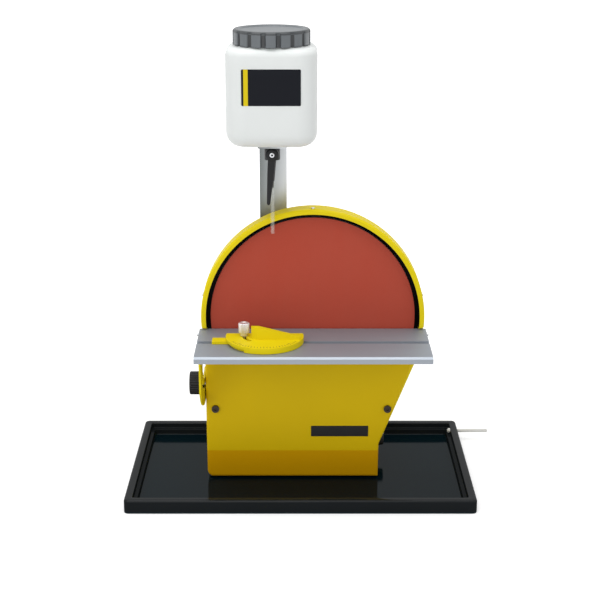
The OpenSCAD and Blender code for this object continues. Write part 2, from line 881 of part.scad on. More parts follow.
module switch_frame() {
    color(black) difference() {
        union() {
            translate([body_right, switch_y - switch_w / 2 - frame_edge,
                controls_z - switch_h / 2 - frame_edge])
                cube([frame_t, switch_w + 2 * frame_edge, switch_h + 2 * frame_edge]);
            translate([body_right - switch_deep, switch_y - switch_w / 2 + seat,
                controls_z - switch_h / 2 + seat])
                cube([switch_deep + over, switch_w - 2 * seat, switch_h - 2 * seat]);
        }
        translate([body_right - switch_deep / 2, switch_y - switch_w / 2 + frame_wall,
            controls_z - switch_h / 2 + frame_wall])
            cube([switch_deep, switch_w - 2 * frame_wall, switch_h - 2 * frame_wall]);
        rod_z([body_right, switch_y, controls_z - switch_h / 2 + frame_wall / 2], rocker_r / 2 + run,
            switch_h - frame_wall);
    }
}

rocker_w = switch_w - 2 * frame_wall - 4 * pass;
rocker_h = switch_h - 2 * frame_wall - 2 * pass;

module switch_rocker() {
    color([0.45, 0.06, 0.05]) {
        intersection() {
            translate([body_right, switch_y, controls_z - rocker_h / 2]) rotate([0, 0, -rocker_turn])
                linear_extrude(rocker_h) polygon([[-rocker_in / 2, -rocker_w / 4], [-rocker_in / 2,
                    rocker_w / 4],
                    [frame_t, rocker_w / 2], [frame_t + rocker_out, rocker_w / 2], [frame_t, 0],
                    [frame_t + rocker_out, -rocker_w / 2], [frame_t, -rocker_w / 2]]);
            rod_z([body_right, switch_y, controls_z - switch_h], rocker_w / 2, 2 * switch_h);
        }
        rod_z([body_right, switch_y, controls_z - switch_h / 2 + frame_wall / 2 + run], rocker_r / 2,
            switch_h - frame_wall - 2 * run);
    }
}

dial_h = 10;
dial_gap = 0.4;
pot_body_r = 9;
pot_body_l = 10;
dial_in = 7;

module dial_shaft() {
    color(steel) {
        rod_x([body_right - wall - pot_body_l, dial_y, controls_z], pot_body_r, pot_body_l);
        rod_x([body_right - wall, dial_y, controls_z], pot_r, wall + dial_gap + dial_in);
    }
}

module speed_dial() {
    color(black) difference() {
        rod_x([body_right + dial_gap, dial_y, controls_z], dial_r, dial_h);
        rod_x([body_right + dial_gap - over, dial_y, controls_z], pot_r + run, dial_in + pass + over);
        translate([body_right + dial_gap + dial_h - over, dial_y - over / 2, controls_z + dial_r / 2])
            cube([2 * over, over, dial_r]);
    }
}

// TABLE
table_y0 = face_y - table_gap - table_d;
table_y1 = face_y - table_gap;
bar_y = table_y0 + bar_from_front;
edge_cut = 2.2;
quad_t = 2.2;
quad_gap = 1.3;
quad_x = body_left - quad_gap - quad_t;
quad_in = 11;
quad_out = 22;
quad_flange = 15;
quad_reach = 19.5;
quad_end = max(quad_x + quad_t + quad_flange, table_x0 + quad_reach);
quad_from = 35;
quad_to = 113;
slot_end = 1.5;
quad_front_share = 0.4;
quad_y0 = pivot_y - slot_r - quad_out * quad_front_share;
quad_y1 = pivot_y - slot_r / 2;
quad_hole_x = quad_end - quad_flange / 2;
quad_screw_r = 1.5;
quad_holes = [quad_y0 + quad_flange / 2, quad_y1 - quad_flange / 2];
quad_screw_l = 5;

module table() {
    color(alu) difference() {
        slab_x(table_x0, table_x1) polygon([[table_y0, table_low], [table_y1, table_low],
            [table_y1, table_z], [table_y0 + edge_cut, table_z], [table_y0, table_z - edge_cut]]);
        translate([table_x0 - over, bar_y - groove_w / 2, table_z - groove_d])
            cube([table_w + 2 * over, groove_w, groove_d + over]);
        both_ends() {
            rod_x([-table_w / 2 - over, pivot_y, pivot_z], pin_r + run, pin_x1 + pass + over + table_w / 2);
            translate([ear_x0 - pass, pivot_y - ear_r - pass, table_low - over])
                cube([ear_t + 2 * pass, table_d, pivot_z + ear_r + pass - table_low + over]);
        }
        for (y = quad_holes) rod_z([quad_hole_x, y, table_low - over], quad_screw_r + seat,
            quad_screw_l + over + pass);
    }
}

// Point at an angle below the front, at a radius about the table's pivot
function about_pivot(a, r) = [pivot_y - r * cos(a), pivot_z - r * sin(a)];

// A sector of a ring about the table's pivot
module pivot_sector(r0, r1, a0, a1) {
    step = (a1 - a0) / 24;
    polygon(concat([for (k = [0:24]) about_pivot(a0 + k * step, r1)],
        [for (k = [24:-1:0]) about_pivot(a0 + k * step, r0)]));
}

module tilt_quadrant() {
    color(steel) difference() {
        union() {
            slab_x(quad_x, quad_x + quad_t) {
                pivot_sector(slot_r - quad_in, slot_r + quad_out, quad_from, quad_to);
                polygon([about_pivot(quad_from, slot_r + quad_out), about_pivot(quad_from + quad_in,
                    slot_r - quad_in), [quad_y1, table_low], [quad_y0, table_low]]);
            }
            translate([quad_x, quad_y0, table_low - quad_t]) cube([quad_end - quad_x, quad_y1 - quad_y0,
                quad_t]);
        }
        slab_x(quad_x - over, quad_x + quad_t + over) {
            pivot_sector(slot_r - stud_r - pass, slot_r + stud_r + pass, stud_turn - tilt_down - slot_end,
                stud_turn + tilt_up + slot_end);
            for (a = [stud_turn - tilt_down - slot_end, stud_turn + tilt_up + slot_end])
                translate(about_pivot(a, slot_r)) circle(stud_r + pass);
        }
        for (y = quad_holes) rod_z([quad_hole_x, y, table_low - quad_t - over], quad_screw_r + seat,
            quad_t + 2 * over);
    }
}

module quadrant_screws() {
    color(dark) for (y = quad_holes) {
        rod_z([quad_hole_x, y, table_low - quad_t], quad_screw_r, quad_t + quad_screw_l);
        rod_z([quad_hole_x, y, table_low - quad_t - quad_screw_r], 2 * quad_screw_r, quad_screw_r);
    }
}

washer_t = 0.8;
knob_x = quad_x - pass - washer_t;
stud_in = 6;
clamp_nut_t = 5;
knob_cap = 2.5;
nut_r = 6;

module clamp_stud() {
    color(steel) {
        rod_x([knob_x - knob_l + knob_cap + pass, stud_y, stud_z], stud_r,
            body_left + wall + stud_in - knob_x + knob_l - knob_cap - pass);
        translate([body_left + wall, stud_y, stud_z]) rotate([0, 90, 0]) cylinder(h = clamp_nut_t,
            r = nut_r, $fn = 6);
    }
}

module clamp_knob() {
    color(black) difference() {
        union() {
            rod_x([knob_x - knob_l, stud_y, stud_z], knob_d / 2, knob_l);
            rod_x([knob_x, stud_y, stud_z], 2 * stud_r, washer_t);
        }
        rod_x([knob_x - knob_l + knob_cap, stud_y, stud_z], stud_r + run, knob_l + over + washer_t);
        for (a = [0:30:330]) rod_x([knob_x - knob_l - over, stud_y + (knob_d / 2 + stud_r / 4) * cos(a),
            stud_z + (knob_d / 2 + stud_r / 4) * sin(a)], stud_r / 2, knob_l + 2 * over);
    }
}

// GAUGE
head_off = 3;
head_y = bar_y + head_off;
slide_gap = 0.2;
head_z = table_z + head_h;
head_under = table_z + bar_h + pass;
head_back = 9;
skirt_t = 3;
skirt_from = 240;
stud_reach = 24.5;
gauge_stud_r = 2;
swivel = 45;
pivot_r = 3;
pivot_cap_r = 6;
pivot_cap_t = 1.5;
bar_tail = 10;
foot_gap = 0.6;
foot_edge = 15;

// The bar has a round foot under the head, inside its skirt
module gauge_bar() {
    color(paint) difference() {
        union() {
            translate([head_x, head_y, table_z + slide_gap]) linear_extrude(bar_h - slide_gap)
                head_sector(2 * pivot_r, head_r - skirt_t - foot_gap, 180 + foot_edge, 360 - foot_edge);
            translate([head_x - bar_reach, bar_y - bar_w / 2, table_z + slide_gap])
                cube([bar_reach + bar_tail, bar_w, bar_h - slide_gap]);
            translate([head_x - bar_reach, bar_y - groove_w / 2 + slide_gap, table_z - groove_d + slide_gap])
                cube([bar_reach + bar_tail, groove_w - 2 * slide_gap, groove_d + slide_gap]);
        }
        rod_z([head_x, head_y, table_z - groove_d], pivot_r + seat, groove_d + head_h);
        rod_z([head_x - stud_reach, head_y, table_z - groove_d], gauge_stud_r + seat, groove_d + head_h);
    }
}

module gauge_pivot() {
    color(steel) {
        rod_z([head_x, head_y, table_z + slide_gap], pivot_r, head_h + pass - slide_gap);
        rod_z([head_x, head_y, head_z + pass], pivot_cap_r, pivot_cap_t);
    }
}

module gauge_stud() {
    color(steel) rod_z([head_x - stud_reach, head_y, table_z + slide_gap], gauge_stud_r,
        head_h + gauge_knob_h - slide_gap - skirt_t);
}

// The half-round head seen from above, about its pivot
module half_head(r, back) {
    difference() {
        circle(r, $fn = 96);
        translate([-head_r - over, back]) square([2 * head_r + 2 * over, head_r]);
    }
}

// A sector about the head's pivot from one angle to another
module head_sector(r0, r1, a0, a1) {
    step = (a1 - a0) / 24;
    polygon(concat([for (k = [0:24]) r1 * [cos(a0 + k * step), sin(a0 + k * step)]],
        [for (k = [24:-1:0]) r0 * [cos(a0 + k * step), sin(a0 + k * step)]]));
}

module gauge_head() {
    color(paint) translate([head_x, head_y, 0]) difference() {
        union() {
            translate([0, 0, head_under]) linear_extrude(head_z - head_under) half_head(head_r, head_back);
            translate([0, 0, table_z + pass]) linear_extrude(head_z - table_z - pass) intersection() {
                half_head(head_r, head_back);
                head_sector(head_r - skirt_t, head_r + over, skirt_from, 360);
            }
        }
        rod_z([0, 0, table_z], pivot_r + run, head_h + over);
        translate([0, 0, table_z]) linear_extrude(head_h + over) {
            head_sector(stud_reach - gauge_stud_r - pass, stud_reach + gauge_stud_r + pass,
                180 - swivel, 180 + swivel);
            for (a = [180 - swivel, 180 + swivel])
                translate(stud_reach * [cos(a), sin(a)]) circle(gauge_stud_r + pass);
        }
    }
}

grip_t = 7;
grip_low_share = 0.2;
grip_flat_share = 0.15;
grip_left_share = 0.34;
grip_right_share = 0.9;
grip_front_share = 0.32;
grip_x0 = head_x - head_r * grip_left_share;
grip_x1 = head_x + head_r * grip_right_share;
grip_y = head_y - head_r * grip_front_share;

// The grip's left end is rounded about the pivot, so that it swings past the knob
module gauge_grip() {
    color(paint) intersection() {
        slab_y(grip_y, grip_y + grip_t) polygon([[grip_x0, head_z], [grip_x1, head_z],
            [grip_x1, head_z + grip_h * grip_low_share],
            [grip_x0 + (grip_x1 - grip_x0) * grip_flat_share, head_z + grip_h], [grip_x0, head_z + grip_h]]);
        union() {
            rod_z([head_x, head_y, table_z], stud_reach - gauge_knob_d / 2 - pass, head_h + grip_h + over);
            translate([head_x, grip_y - head_r, table_z]) cube([2 * head_r, 3 * head_r,
                head_h + grip_h + over]);
        }
    }
}

module gauge_knob() {
    color(steel) difference() {
        rod_z([head_x - stud_reach, head_y, head_z + pass], gauge_knob_d / 2, gauge_knob_h);
        rod_z([head_x - stud_reach, head_y, head_z], gauge_stud_r + run, gauge_knob_h - skirt_t + pass);
        for (a = [0:20:340]) rod_z([head_x - stud_reach + gauge_knob_d / 2 * cos(a),
            head_y + gauge_knob_d / 2 * sin(a), head_z + skirt_t], gauge_stud_r / 4, gauge_knob_h);
    }
}

// WATER KIT
shelf_z = bottle_z - post_t;
shelf_reach = post_y + post_t - tap_y + tap_d;
shank_r = 7;
corner_r = 24;
foot_round = 11;
top_round = 7;
neck_in = 5.5;
neck_r = lid_d / 2 - neck_in;
neck_low = 4.5;
neck_h = lid_h - neck_low;
neck_wall = 2.4;
bottle_top = bottle_z + bottle_h;

module water_post() {
    color(steel) difference() {
        union() {
            translate([water_x - post_w / 2, post_y, post_low]) cube([post_w, post_t, bottle_z - post_low]);
            translate([water_x - post_w / 2, post_y + post_t - shelf_reach, shelf_z])
                cube([post_w, shelf_reach, post_t]);
        }
        for (k = [0, 1]) rod_y([water_x, post_y - over, post_screw_z + k * post_pitch], screw_r + seat,
            post_t + 2 * over);
        rod_z([water_x, tap_y, shelf_z - over], shank_r + seat, post_t + 2 * over);
    }
}

module post_screws() {
    color(dark) for (k = [0, 1]) mirror([0, 1, 0])
        screw_y([water_x, -post_y - post_t, post_screw_z + k * post_pitch], screw_r, post_t + post_y - web_y,
            screw_head_r, screw_head_t, screw_r);
}

// A ring-shaped corner of a rounded box
module box_corner(r, edge) {
    rotate_extrude($fn = 32) translate([r - edge, 0]) circle(edge, $fn = 24);
}

// The bottle's body, moved in by i
module bottle_body(i) {
    hull() for (sx = [-1, 1], sy = [-1, 1]) {
        translate([water_x + sx * (bottle_w / 2 - corner_r), bottle_y + sy * (bottle_d / 2 - corner_r), 0]) {
            translate([0, 0, bottle_z + foot_round]) box_corner(corner_r - i, foot_round - i);
            translate([0, 0, bottle_top - top_round]) box_corner(corner_r - i, top_round - i);
        }
    }
}

module water_bottle() {
    color(pale) difference() {
        union() {
            bottle_body(0);
            rod_z([water_x, bottle_y, bottle_top - over], neck_r, neck_h + over);
        }
        bottle_body(bottle_wall);
        rod_z([water_x, bottle_y, bottle_top - 2 * bottle_wall], neck_r - neck_wall,
            neck_h + 2 * bottle_wall + over);
        rod_z([water_x, tap_y, bottle_z - over], shank_r + seat, bottle_wall + 2 * over);
    }
}

label_w = 67;
label_h = 41;
label_t = 0.4;
label_up_share = 0.623;

module bottle_label() {
    color(black) translate([water_x - label_w / 2, bottle_y - bottle_d / 2 - label_t,
        bottle_z + bottle_h * label_up_share - label_h / 2]) cube([label_w, label_t, label_h]);
}

lid_gap = 1;
lid_z = bottle_top + lid_gap;
lid_wall = 2.5;
lid_recess = 2;
seal_t = 1.6;
lid_ribs = 36;
rib_r = 0.9;

module lid_seal() {
    color([0.8, 0.8, 0.78]) rod_z([water_x, bottle_y, bottle_top + neck_h + pass], neck_r - pass, seal_t);
}

module bottle_lid() {
    under = bottle_top + neck_h + seal_t + 2 * pass;
    top = lid_z + lid_h;
    color([0.30, 0.32, 0.34]) difference() {
        rod_z([water_x, bottle_y, lid_z], lid_d / 2, lid_h);
        rod_z([water_x, bottle_y, lid_z - over], neck_r + 4 * pass, under - lid_z + over);
        rod_z([water_x, bottle_y, top - lid_recess / 2], lid_d / 2 - 2 * lid_wall, lid_recess);
        for (k = [0:lid_ribs - 1])
            rod_z([water_x + lid_d / 2 * cos(k * 360 / lid_ribs),
                bottle_y + lid_d / 2 * sin(k * 360 / lid_ribs),
                lid_z - over], rib_r, lid_h - lid_wall);
    }
}

tap_h = 16;
nozzle_r0 = 5;
nozzle_r1 = 2.4;
nozzle_l = 26;
nozzle_tip = 8;
tap_bore = 1;
tap_z = shelf_z - tap_h;
shank_in = 9;
shank_l = post_t + bottle_wall + shank_in;
cock_r = 4;
cock_in = 5;
cock_low = 0.6;
cock_z = tap_z + tap_h / 2 - cock_low;
lever_y = tap_y - tap_d / 2 - pass;
lever_t = 4.5;
lever_hub_r = 8;
lever_w0 = 9;
lever_w1 = 4.6;
lever_hang = 4.4;
tap_nut_h = 6;
tap_nut_r = 12;

module tap_body() {
    color(dark) difference() {
        union() {
            rod_z([water_x, tap_y, tap_z], tap_d / 2, tap_h);
            rod_z([water_x, tap_y, shelf_z - over], shank_r, shank_l + over);
            translate([water_x, tap_y, tap_z - nozzle_l])
                cylinder(h = nozzle_l + over, r1 = nozzle_r1, r2 = nozzle_r0);
            rod_z([water_x, tap_y, tap_z - nozzle_l - nozzle_tip], pipe_d / 2 - spout_wall,
                nozzle_tip + over);
        }
        rod_z([water_x, tap_y, tap_z - nozzle_l - nozzle_tip - over], tap_bore / 2,
            nozzle_l + nozzle_tip + tap_h + shank_l + 2 * over);
        rod_y([water_x, lever_y - over, cock_z], cock_r + run, cock_in + pass + over + run);
    }
}

module tap_nut() {
    color(dark) difference() {
        translate([water_x, tap_y, bottle_z + bottle_wall]) cylinder(h = tap_nut_h, r = tap_nut_r, $fn = 6);
        rod_z([water_x, tap_y, bottle_z + bottle_wall - over], shank_r + seat, tap_nut_h + 2 * over);
    }
}

module tap_lever() {
    color(dark) {
        rod_y([water_x, lever_y - lever_t, cock_z], lever_hub_r, lever_t);
        rod_y([water_x, lever_y - over, cock_z], cock_r, cock_in + over);
        translate([water_x, 0, cock_z]) rotate([0, lever_hang, 0]) slab_y(lever_y - lever_t + tuck,
            lever_y - tuck)
            polygon([[-lever_w0 / 2, 0], [lever_w0 / 2, 0], [lever_w1 / 2, -lever_l], [-lever_w1 / 2,
                -lever_l]]);
    }
}

pipe_top = tap_z - nozzle_l - pass;
pipe_z = axis_z + pipe_end;

module drip_pipe() {
    color([0.85, 0.88, 0.88]) difference() {
        rod_z([water_x, tap_y, pipe_z], pipe_d / 2, pipe_top - pipe_z);
        rod_z([water_x, tap_y, pipe_z - over], pipe_d / 2 - spout_wall + seat, pipe_top - pipe_z + 2 * over);
    }
}

tray();
drain_spout();
drain_nut();
housing();
guard_screws();
front_cover();
cover_screws();
name_plate();
base_plate();
rubber_feet();
foot_screws();
rear_cover();
rear_cover_screws();
dust_port();
pivot_pins();
bearing_block();
block_screws();
front_bearing();
rear_bearing();
spindle();
retaining_ring();
backing_disc();
abrasive_disc();
hub_screws();
spindle_pulley();
drive_belt();
motor_pulley();
motor_can();
motor_rotor();
motor_end_cap();
motor_bracket();
motor_screws();
control_board();
switch_frame();
switch_rocker();
speed_dial();
dial_shaft();
cable_gland();
table();
tilt_quadrant();
quadrant_screws();
clamp_stud();
clamp_knob();
gauge_bar();
gauge_pivot();
gauge_stud();
gauge_head();
gauge_grip();
gauge_knob();
water_post();
post_screws();
water_bottle();
bottle_label();
bottle_lid();
lid_seal();
tap_body();
tap_nut();
tap_lever();
drip_pipe();
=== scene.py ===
"""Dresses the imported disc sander: finishes for every solid, shaped pieces over the plain ones,
and a studio stage."""
import json
import math

import bmesh
import bpy
import numpy as np
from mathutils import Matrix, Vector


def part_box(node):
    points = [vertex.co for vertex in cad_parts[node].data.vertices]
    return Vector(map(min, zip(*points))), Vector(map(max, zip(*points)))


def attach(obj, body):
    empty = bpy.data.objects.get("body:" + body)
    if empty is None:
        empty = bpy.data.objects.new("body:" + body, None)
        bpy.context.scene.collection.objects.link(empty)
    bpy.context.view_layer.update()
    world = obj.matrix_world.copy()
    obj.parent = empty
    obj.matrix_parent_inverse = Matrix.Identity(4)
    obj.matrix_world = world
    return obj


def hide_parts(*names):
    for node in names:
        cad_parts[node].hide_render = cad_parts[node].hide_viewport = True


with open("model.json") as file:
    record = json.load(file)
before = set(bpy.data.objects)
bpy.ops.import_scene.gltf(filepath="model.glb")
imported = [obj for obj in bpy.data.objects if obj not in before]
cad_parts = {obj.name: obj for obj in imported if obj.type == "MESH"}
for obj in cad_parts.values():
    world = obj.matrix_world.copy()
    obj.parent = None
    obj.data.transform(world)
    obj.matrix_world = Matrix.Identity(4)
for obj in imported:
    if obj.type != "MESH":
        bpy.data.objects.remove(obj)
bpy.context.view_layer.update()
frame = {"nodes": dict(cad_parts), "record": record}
RECORD = frame["record"]
NODE_SLOT = {row["node"]: row["material_slot"] for row in RECORD["subparts"]}
JOINT_AT = {joint["name"]: np.array(joint["pos_m"]) for joint in RECORD["behaviour"]["joints"]}
FINISHES = {}

bl_info = {
    "name": "Disc sander",
    "version": (1, 0, 0),
    "blender": (4, 5, 0),
    "location": "View3D > Sidebar > Sander",
    "description": "Shapes, finishes and stage of a benchtop disc sander",
    "category": "Object",
}

MM = 0.001
QUARTER = math.pi / 2
TINY = 1e-9
# for each axis, the two coordinates across it and the one along it
AXES = {"X": (1, 2, 0), "Y": (0, 2, 1), "Z": (0, 1, 2)}
# height at which the front cover is bent
COVER_BEND = 41.0 * MM
# bump depths: peel of the paint, fine lines, drawn steel, moulded grain, grit of the abrasive
PEEL, FINE, DRAWN, MOULDED, GRIT = 0.06 * MM, 0.02 * MM, 0.03 * MM, 0.04 * MM, 0.3 * MM
# points nearer than this are merged, in a computed piece and in a copy of a solid
WELD, SOLID_WELD = 0.002 * MM, 0.004 * MM
# neighbouring faces of a solid's copy are joined where they differ by less than this angle
FLAT_ANGLE = math.radians(0.8)
# an edge sharper than this angle gets a round of so many steps
EDGE_ANGLE, EDGE_STEPS = math.radians(30), 3
# a profile's corner gets no arc where half its angle is more than this
STRAIGHT = math.radians(89.5)


class SanderSizes(bpy.types.PropertyGroup):
    """Sizes of the rounds and ribs that a user would change"""
    casting_round: bpy.props.FloatProperty(
        name="Casting round", description="Round on the edges of the castings",
        default=1.3 * MM, subtype="DISTANCE")
    sheet_round: bpy.props.FloatProperty(
        name="Sheet round", description="Round on the edges of sheet and bar",
        default=0.5 * MM, subtype="DISTANCE")
    screw_round: bpy.props.FloatProperty(
        name="Screw round", description="Round on the edges of fasteners",
        default=0.3 * MM, subtype="DISTANCE")
    cover_round: bpy.props.FloatProperty(
        name="Cover round", description="Width of the round along the front cover",
        default=3.2 * MM, subtype="DISTANCE")
    lid_ribs: bpy.props.IntProperty(
        name="Lid ribs", description="Ribs around the bottle's lid", default=16)
    lid_rib_depth: bpy.props.FloatProperty(
        name="Lid rib depth", description="Depth of the lid's ribs",
        default=2.2 * MM, subtype="DISTANCE")
    knob_flutes: bpy.props.IntProperty(
        name="Knob flutes", description="Flutes around the clamp knob", default=28)
    knurl_teeth: bpy.props.IntProperty(
        name="Knurl teeth", description="Teeth of the gauge knob's knurl", default=40)
    dial_grips: bpy.props.IntProperty(
        name="Dial grips", description="Grips around the speed dial", default=18)


class SanderColours(bpy.types.PropertyGroup):
    """Colours of the finishes"""
    yellow: bpy.props.FloatVectorProperty(
        name="Yellow", description="Powder coat", subtype="COLOR", default=(0.80, 0.64, 0.006))
    cover: bpy.props.FloatVectorProperty(
        name="Cover", description="Powder coat of the front cover",
        subtype="COLOR", default=(0.73, 0.50, 0.001))
    # painted shade: the cover below its bend gets a darker, more orange colour for the shade on
    # that downward-leaning strip
    strip: bpy.props.FloatVectorProperty(
        name="Strip", description="Front cover below its bend",
        subtype="COLOR", default=(0.70, 0.36, 0.0))
    abrasive: bpy.props.FloatVectorProperty(
        name="Abrasive", description="Abrasive cloth",
        subtype="COLOR", default=(0.49, 0.066, 0.036))
    tray: bpy.props.FloatVectorProperty(
        name="Tray", description="Tray plastic", subtype="COLOR", default=(0.009, 0.011, 0.0125))
    tray_floor: bpy.props.FloatVectorProperty(
        name="Tray floor", description="Tray plastic on the well's floor",
        subtype="COLOR", default=(0.002, 0.008, 0.0115))
    bottle: bpy.props.FloatVectorProperty(
        name="Bottle", description="Milky bottle plastic",
        subtype="COLOR", default=(0.80, 0.83, 0.82))
    lid: bpy.props.FloatVectorProperty(
        name="Lid", description="Lid plastic", subtype="COLOR", default=(0.088, 0.098, 0.106))
    aluminium: bpy.props.FloatVectorProperty(
        name="Aluminium", description="Planed aluminium",
        subtype="COLOR", default=(0.325, 0.355, 0.395))


class SanderStage(bpy.types.PropertyGroup):
    """Camera and light"""
    camera_at: bpy.props.FloatVectorProperty(
        name="Camera place", description="Where the camera stands",
        subtype="TRANSLATION", default=(-0.0005, -1.5847, 0.7287))
    camera_pitch: bpy.props.FloatProperty(
        name="Camera pitch", description="How far the camera looks down",
        default=math.radians(17.53), subtype="ANGLE")
    lens: bpy.props.FloatProperty(
        name="Lens", description="Focal length on a 36 mm sensor",
        default=81.08, subtype="DISTANCE_CAMERA")
    world_level: bpy.props.FloatProperty(
        name="Room light", description="Strength of the even light", default=0.62)
    top_level: bpy.props.FloatProperty(
        name="Top lamp", description="Power of the lamp overhead", default=15.0, subtype="POWER")
    front_level: bpy.props.FloatProperty(
        name="Front lamp", description="Power of the lamp at the front",
        default=9.0, subtype="POWER")


class Socket:
    """A node's output whose operators add Math nodes, so that shader maths reads as sums."""

    def __init__(self, tree, output):
        self.tree, self.output = tree, output

    def join(self, operation, first, second):
        """A Math node of this operation on two values."""
        node = self.tree.nodes.new("ShaderNodeMath")
        node.operation = operation
        for slot, value in zip(node.inputs, (first, second)):
            feed(self.tree, slot, value)
        return Socket(self.tree, node.outputs[0])

    def __add__(self, other):
        return self.join("ADD", self, other)

    def __sub__(self, other):
        return self.join("SUBTRACT", self, other)

    def __mul__(self, other):
        return self.join("MULTIPLY", self, other)

    def __truediv__(self, other):
        return self.join("DIVIDE", self, other)

    def __pow__(self, other):
        return self.join("POWER", self, other)

    def __gt__(self, other):
        return self.join("GREATER_THAN", self, other)

    def __lt__(self, other):
        return self.join("LESS_THAN", self, other)

    def __radd__(self, other):
        return self.join("ADD", other, self)

    def __rsub__(self, other):
        return self.join("SUBTRACT", other, self)

    def __rmul__(self, other):
        return self.join("MULTIPLY", other, self)

    def __rtruediv__(self, other):
        return self.join("DIVIDE", other, self)

    def __rpow__(self, other):
        return self.join("POWER", other, self)


def feed(tree, slot, value):
    """Links a Socket to a node's input, or writes a plain value on it."""
    if isinstance(value, Socket):
        tree.links.new(value.output, slot)
    elif slot.type == "RGBA" and len(value) == 3:
        slot.default_value = (*value, 1.0)
    else:
        slot.default_value = value


class Finish:
    """One procedural finish: a node tree that ends in a surface."""

    def __init__(self, name):
        self.material = bpy.data.materials.new(name)
        self.material.use_nodes = True
        self.tree = self.material.node_tree
        self.tree.nodes.clear()
        FINISHES[name] = self.material

    def node(self, kind, settings=None, values=None, out=0):
        """Adds a node, sets its settings first and then its inputs, and wraps one output."""
        node = self.tree.nodes.new("ShaderNode" + kind)
        for key, value in (settings or {}).items():
            setattr(node, key, value)
        for key, value in (values or {}).items():
            feed(self.tree, node.inputs[key], value)
        return Socket(self.tree, node.outputs[out])

    def place(self, stretch=(1, 1, 1), centre=(0, 0, 0)):
        """Object coordinates about a centre, stretched along the axes."""
        at = self.node("TexCoord", out="Object")
        at = self.node("VectorMath", {"operation": "SUBTRACT"}, {0: at, 1: centre})
        return self.node("Mapping", {"vector_type": "POINT"}, {"Vector": at, "Scale": stretch})

    def parts(self, centre=(0, 0, 0)):
        """The three Object coordinates about a centre, as numbers."""
        at = self.place(centre=centre)
        return [self.node("SeparateXYZ", None, {0: at}, out=k) for k in range(3)]

    def noise(self, scale, detail=2.0, rough=0.5, stretch=(1, 1, 1)):
        """Noise from 0 to 1 on stretched Object coordinates."""
        return self.node("TexNoise", None, {"Vector": self.place(stretch), "Scale": scale,
                                            "Detail": detail, "Roughness": rough})

    def mix(self, share, first, second):
        """Two colours, a Mix node's inputs 6 and 7, mixed by a share."""
        return self.node("Mix", {"data_type": "RGBA", "clamp_factor": True},
                         {0: share, 6: first, 7: second}, out=2)

    def shades(self, share, colour, dark, light):
        """A colour that runs from one multiple of itself to another by a share."""
        return self.mix(share, tint(colour, dark), tint(colour, light))

    def bump(self, height, depth, strength=1.0):
        """A normal that leans with a height of this depth."""
        return self.node("Bump", None, {"Strength": strength, "Distance": depth, "Height": height})

    def surface(self, **values):
        """Ends the tree in a Principled surface with these inputs, words joined by underscores."""
        names = {key.replace("_", " ").title().replace("Ior", "IOR"): value
                 for key, value in values.items()}
        self.end(self.node("BsdfPrincipled", None, names))

    def end(self, shader):
        """Links a shader to the tree's output."""
        output = self.tree.nodes.new("ShaderNodeOutputMaterial")
        self.tree.links.new(shader.output, output.inputs["Surface"])


def mm(*values):
    """Millimetres as an array of metres."""
    return np.array(values) * MM


def tint(colour, share):
    """A colour times a share."""
    return tuple(part * share for part in colour)


def guard_shade(f):
    """1 inside the guard, where a near-black colour is painted shade for the guard's deep hollow:
    nearer to the disc's axis than the lip or, behind the lip, than the wall, and no further back
    than the hollow."""
    lip_r, wall_r, lip_rear, hollow_rear = mm(130.4, 134.4, -9.0, 6.0)
    x, y, z = f.parts(JOINT_AT["disc_spin"].tolist())
    reach = (x * x + z * z) ** 0.5
    hollow = (reach < lip_r) + (reach < wall_r) * (y > lip_rear)
    return hollow * (y < hollow_rear)


def make_paints(colours):
    """Powder coats: plain, with near-black painted shade inside the guard, and with a darker
    painted shade below the front cover's bend.
    """
    for name in ("yellow_paint", "housing_paint", "cover_paint"):
        f = Finish(name)
        paint = colours.cover if name == "cover_paint" else colours.yellow
        cloud = f.noise(11.0, 3.0)
        coat = f.shades(cloud, paint, 0.95, 1.05)
        if name == "housing_paint":
            # painted shade: the inside of the guard gets a near-black colour in place of the shade
            # that falls there
            coat = f.mix(guard_shade(f), coat, (0.004, 0.003, 0.002))
        if name == "cover_paint":
            # painted shade: a darker colour on the cover below its bend
            coat = f.mix(f.parts()[2] < COVER_BEND, coat, colours.strip)
        f.surface(base_color=coat, roughness=0.40 + 0.12 * cloud, specular_ior_level=0.12,
                  normal=f.bump(f.noise(1100.0, 1.0), PEEL))


def make_abrasive(colours):
    """Red abrasive cloth: grains in clumps, with faint dusty streaks."""
    f = Finish("red_abrasive")
    grain = f.noise(1500.0, 2.0, 0.7)
    clump = f.noise(330.0, 3.0)
    streak = f.noise(1.0, 3.0, stretch=(38.0, 1.0, 9.0))
    base = f.shades(grain, colours.abrasive, 0.72, 1.22)
    f.surface(base_color=f.mix(streak * 0.34, base, (0.47, 0.11, 0.075)),
              roughness=0.93 - 0.16 * clump, specular_ior_level=0.25,
              normal=f.bump(grain + 0.5 * clump, GRIT, 0.7))


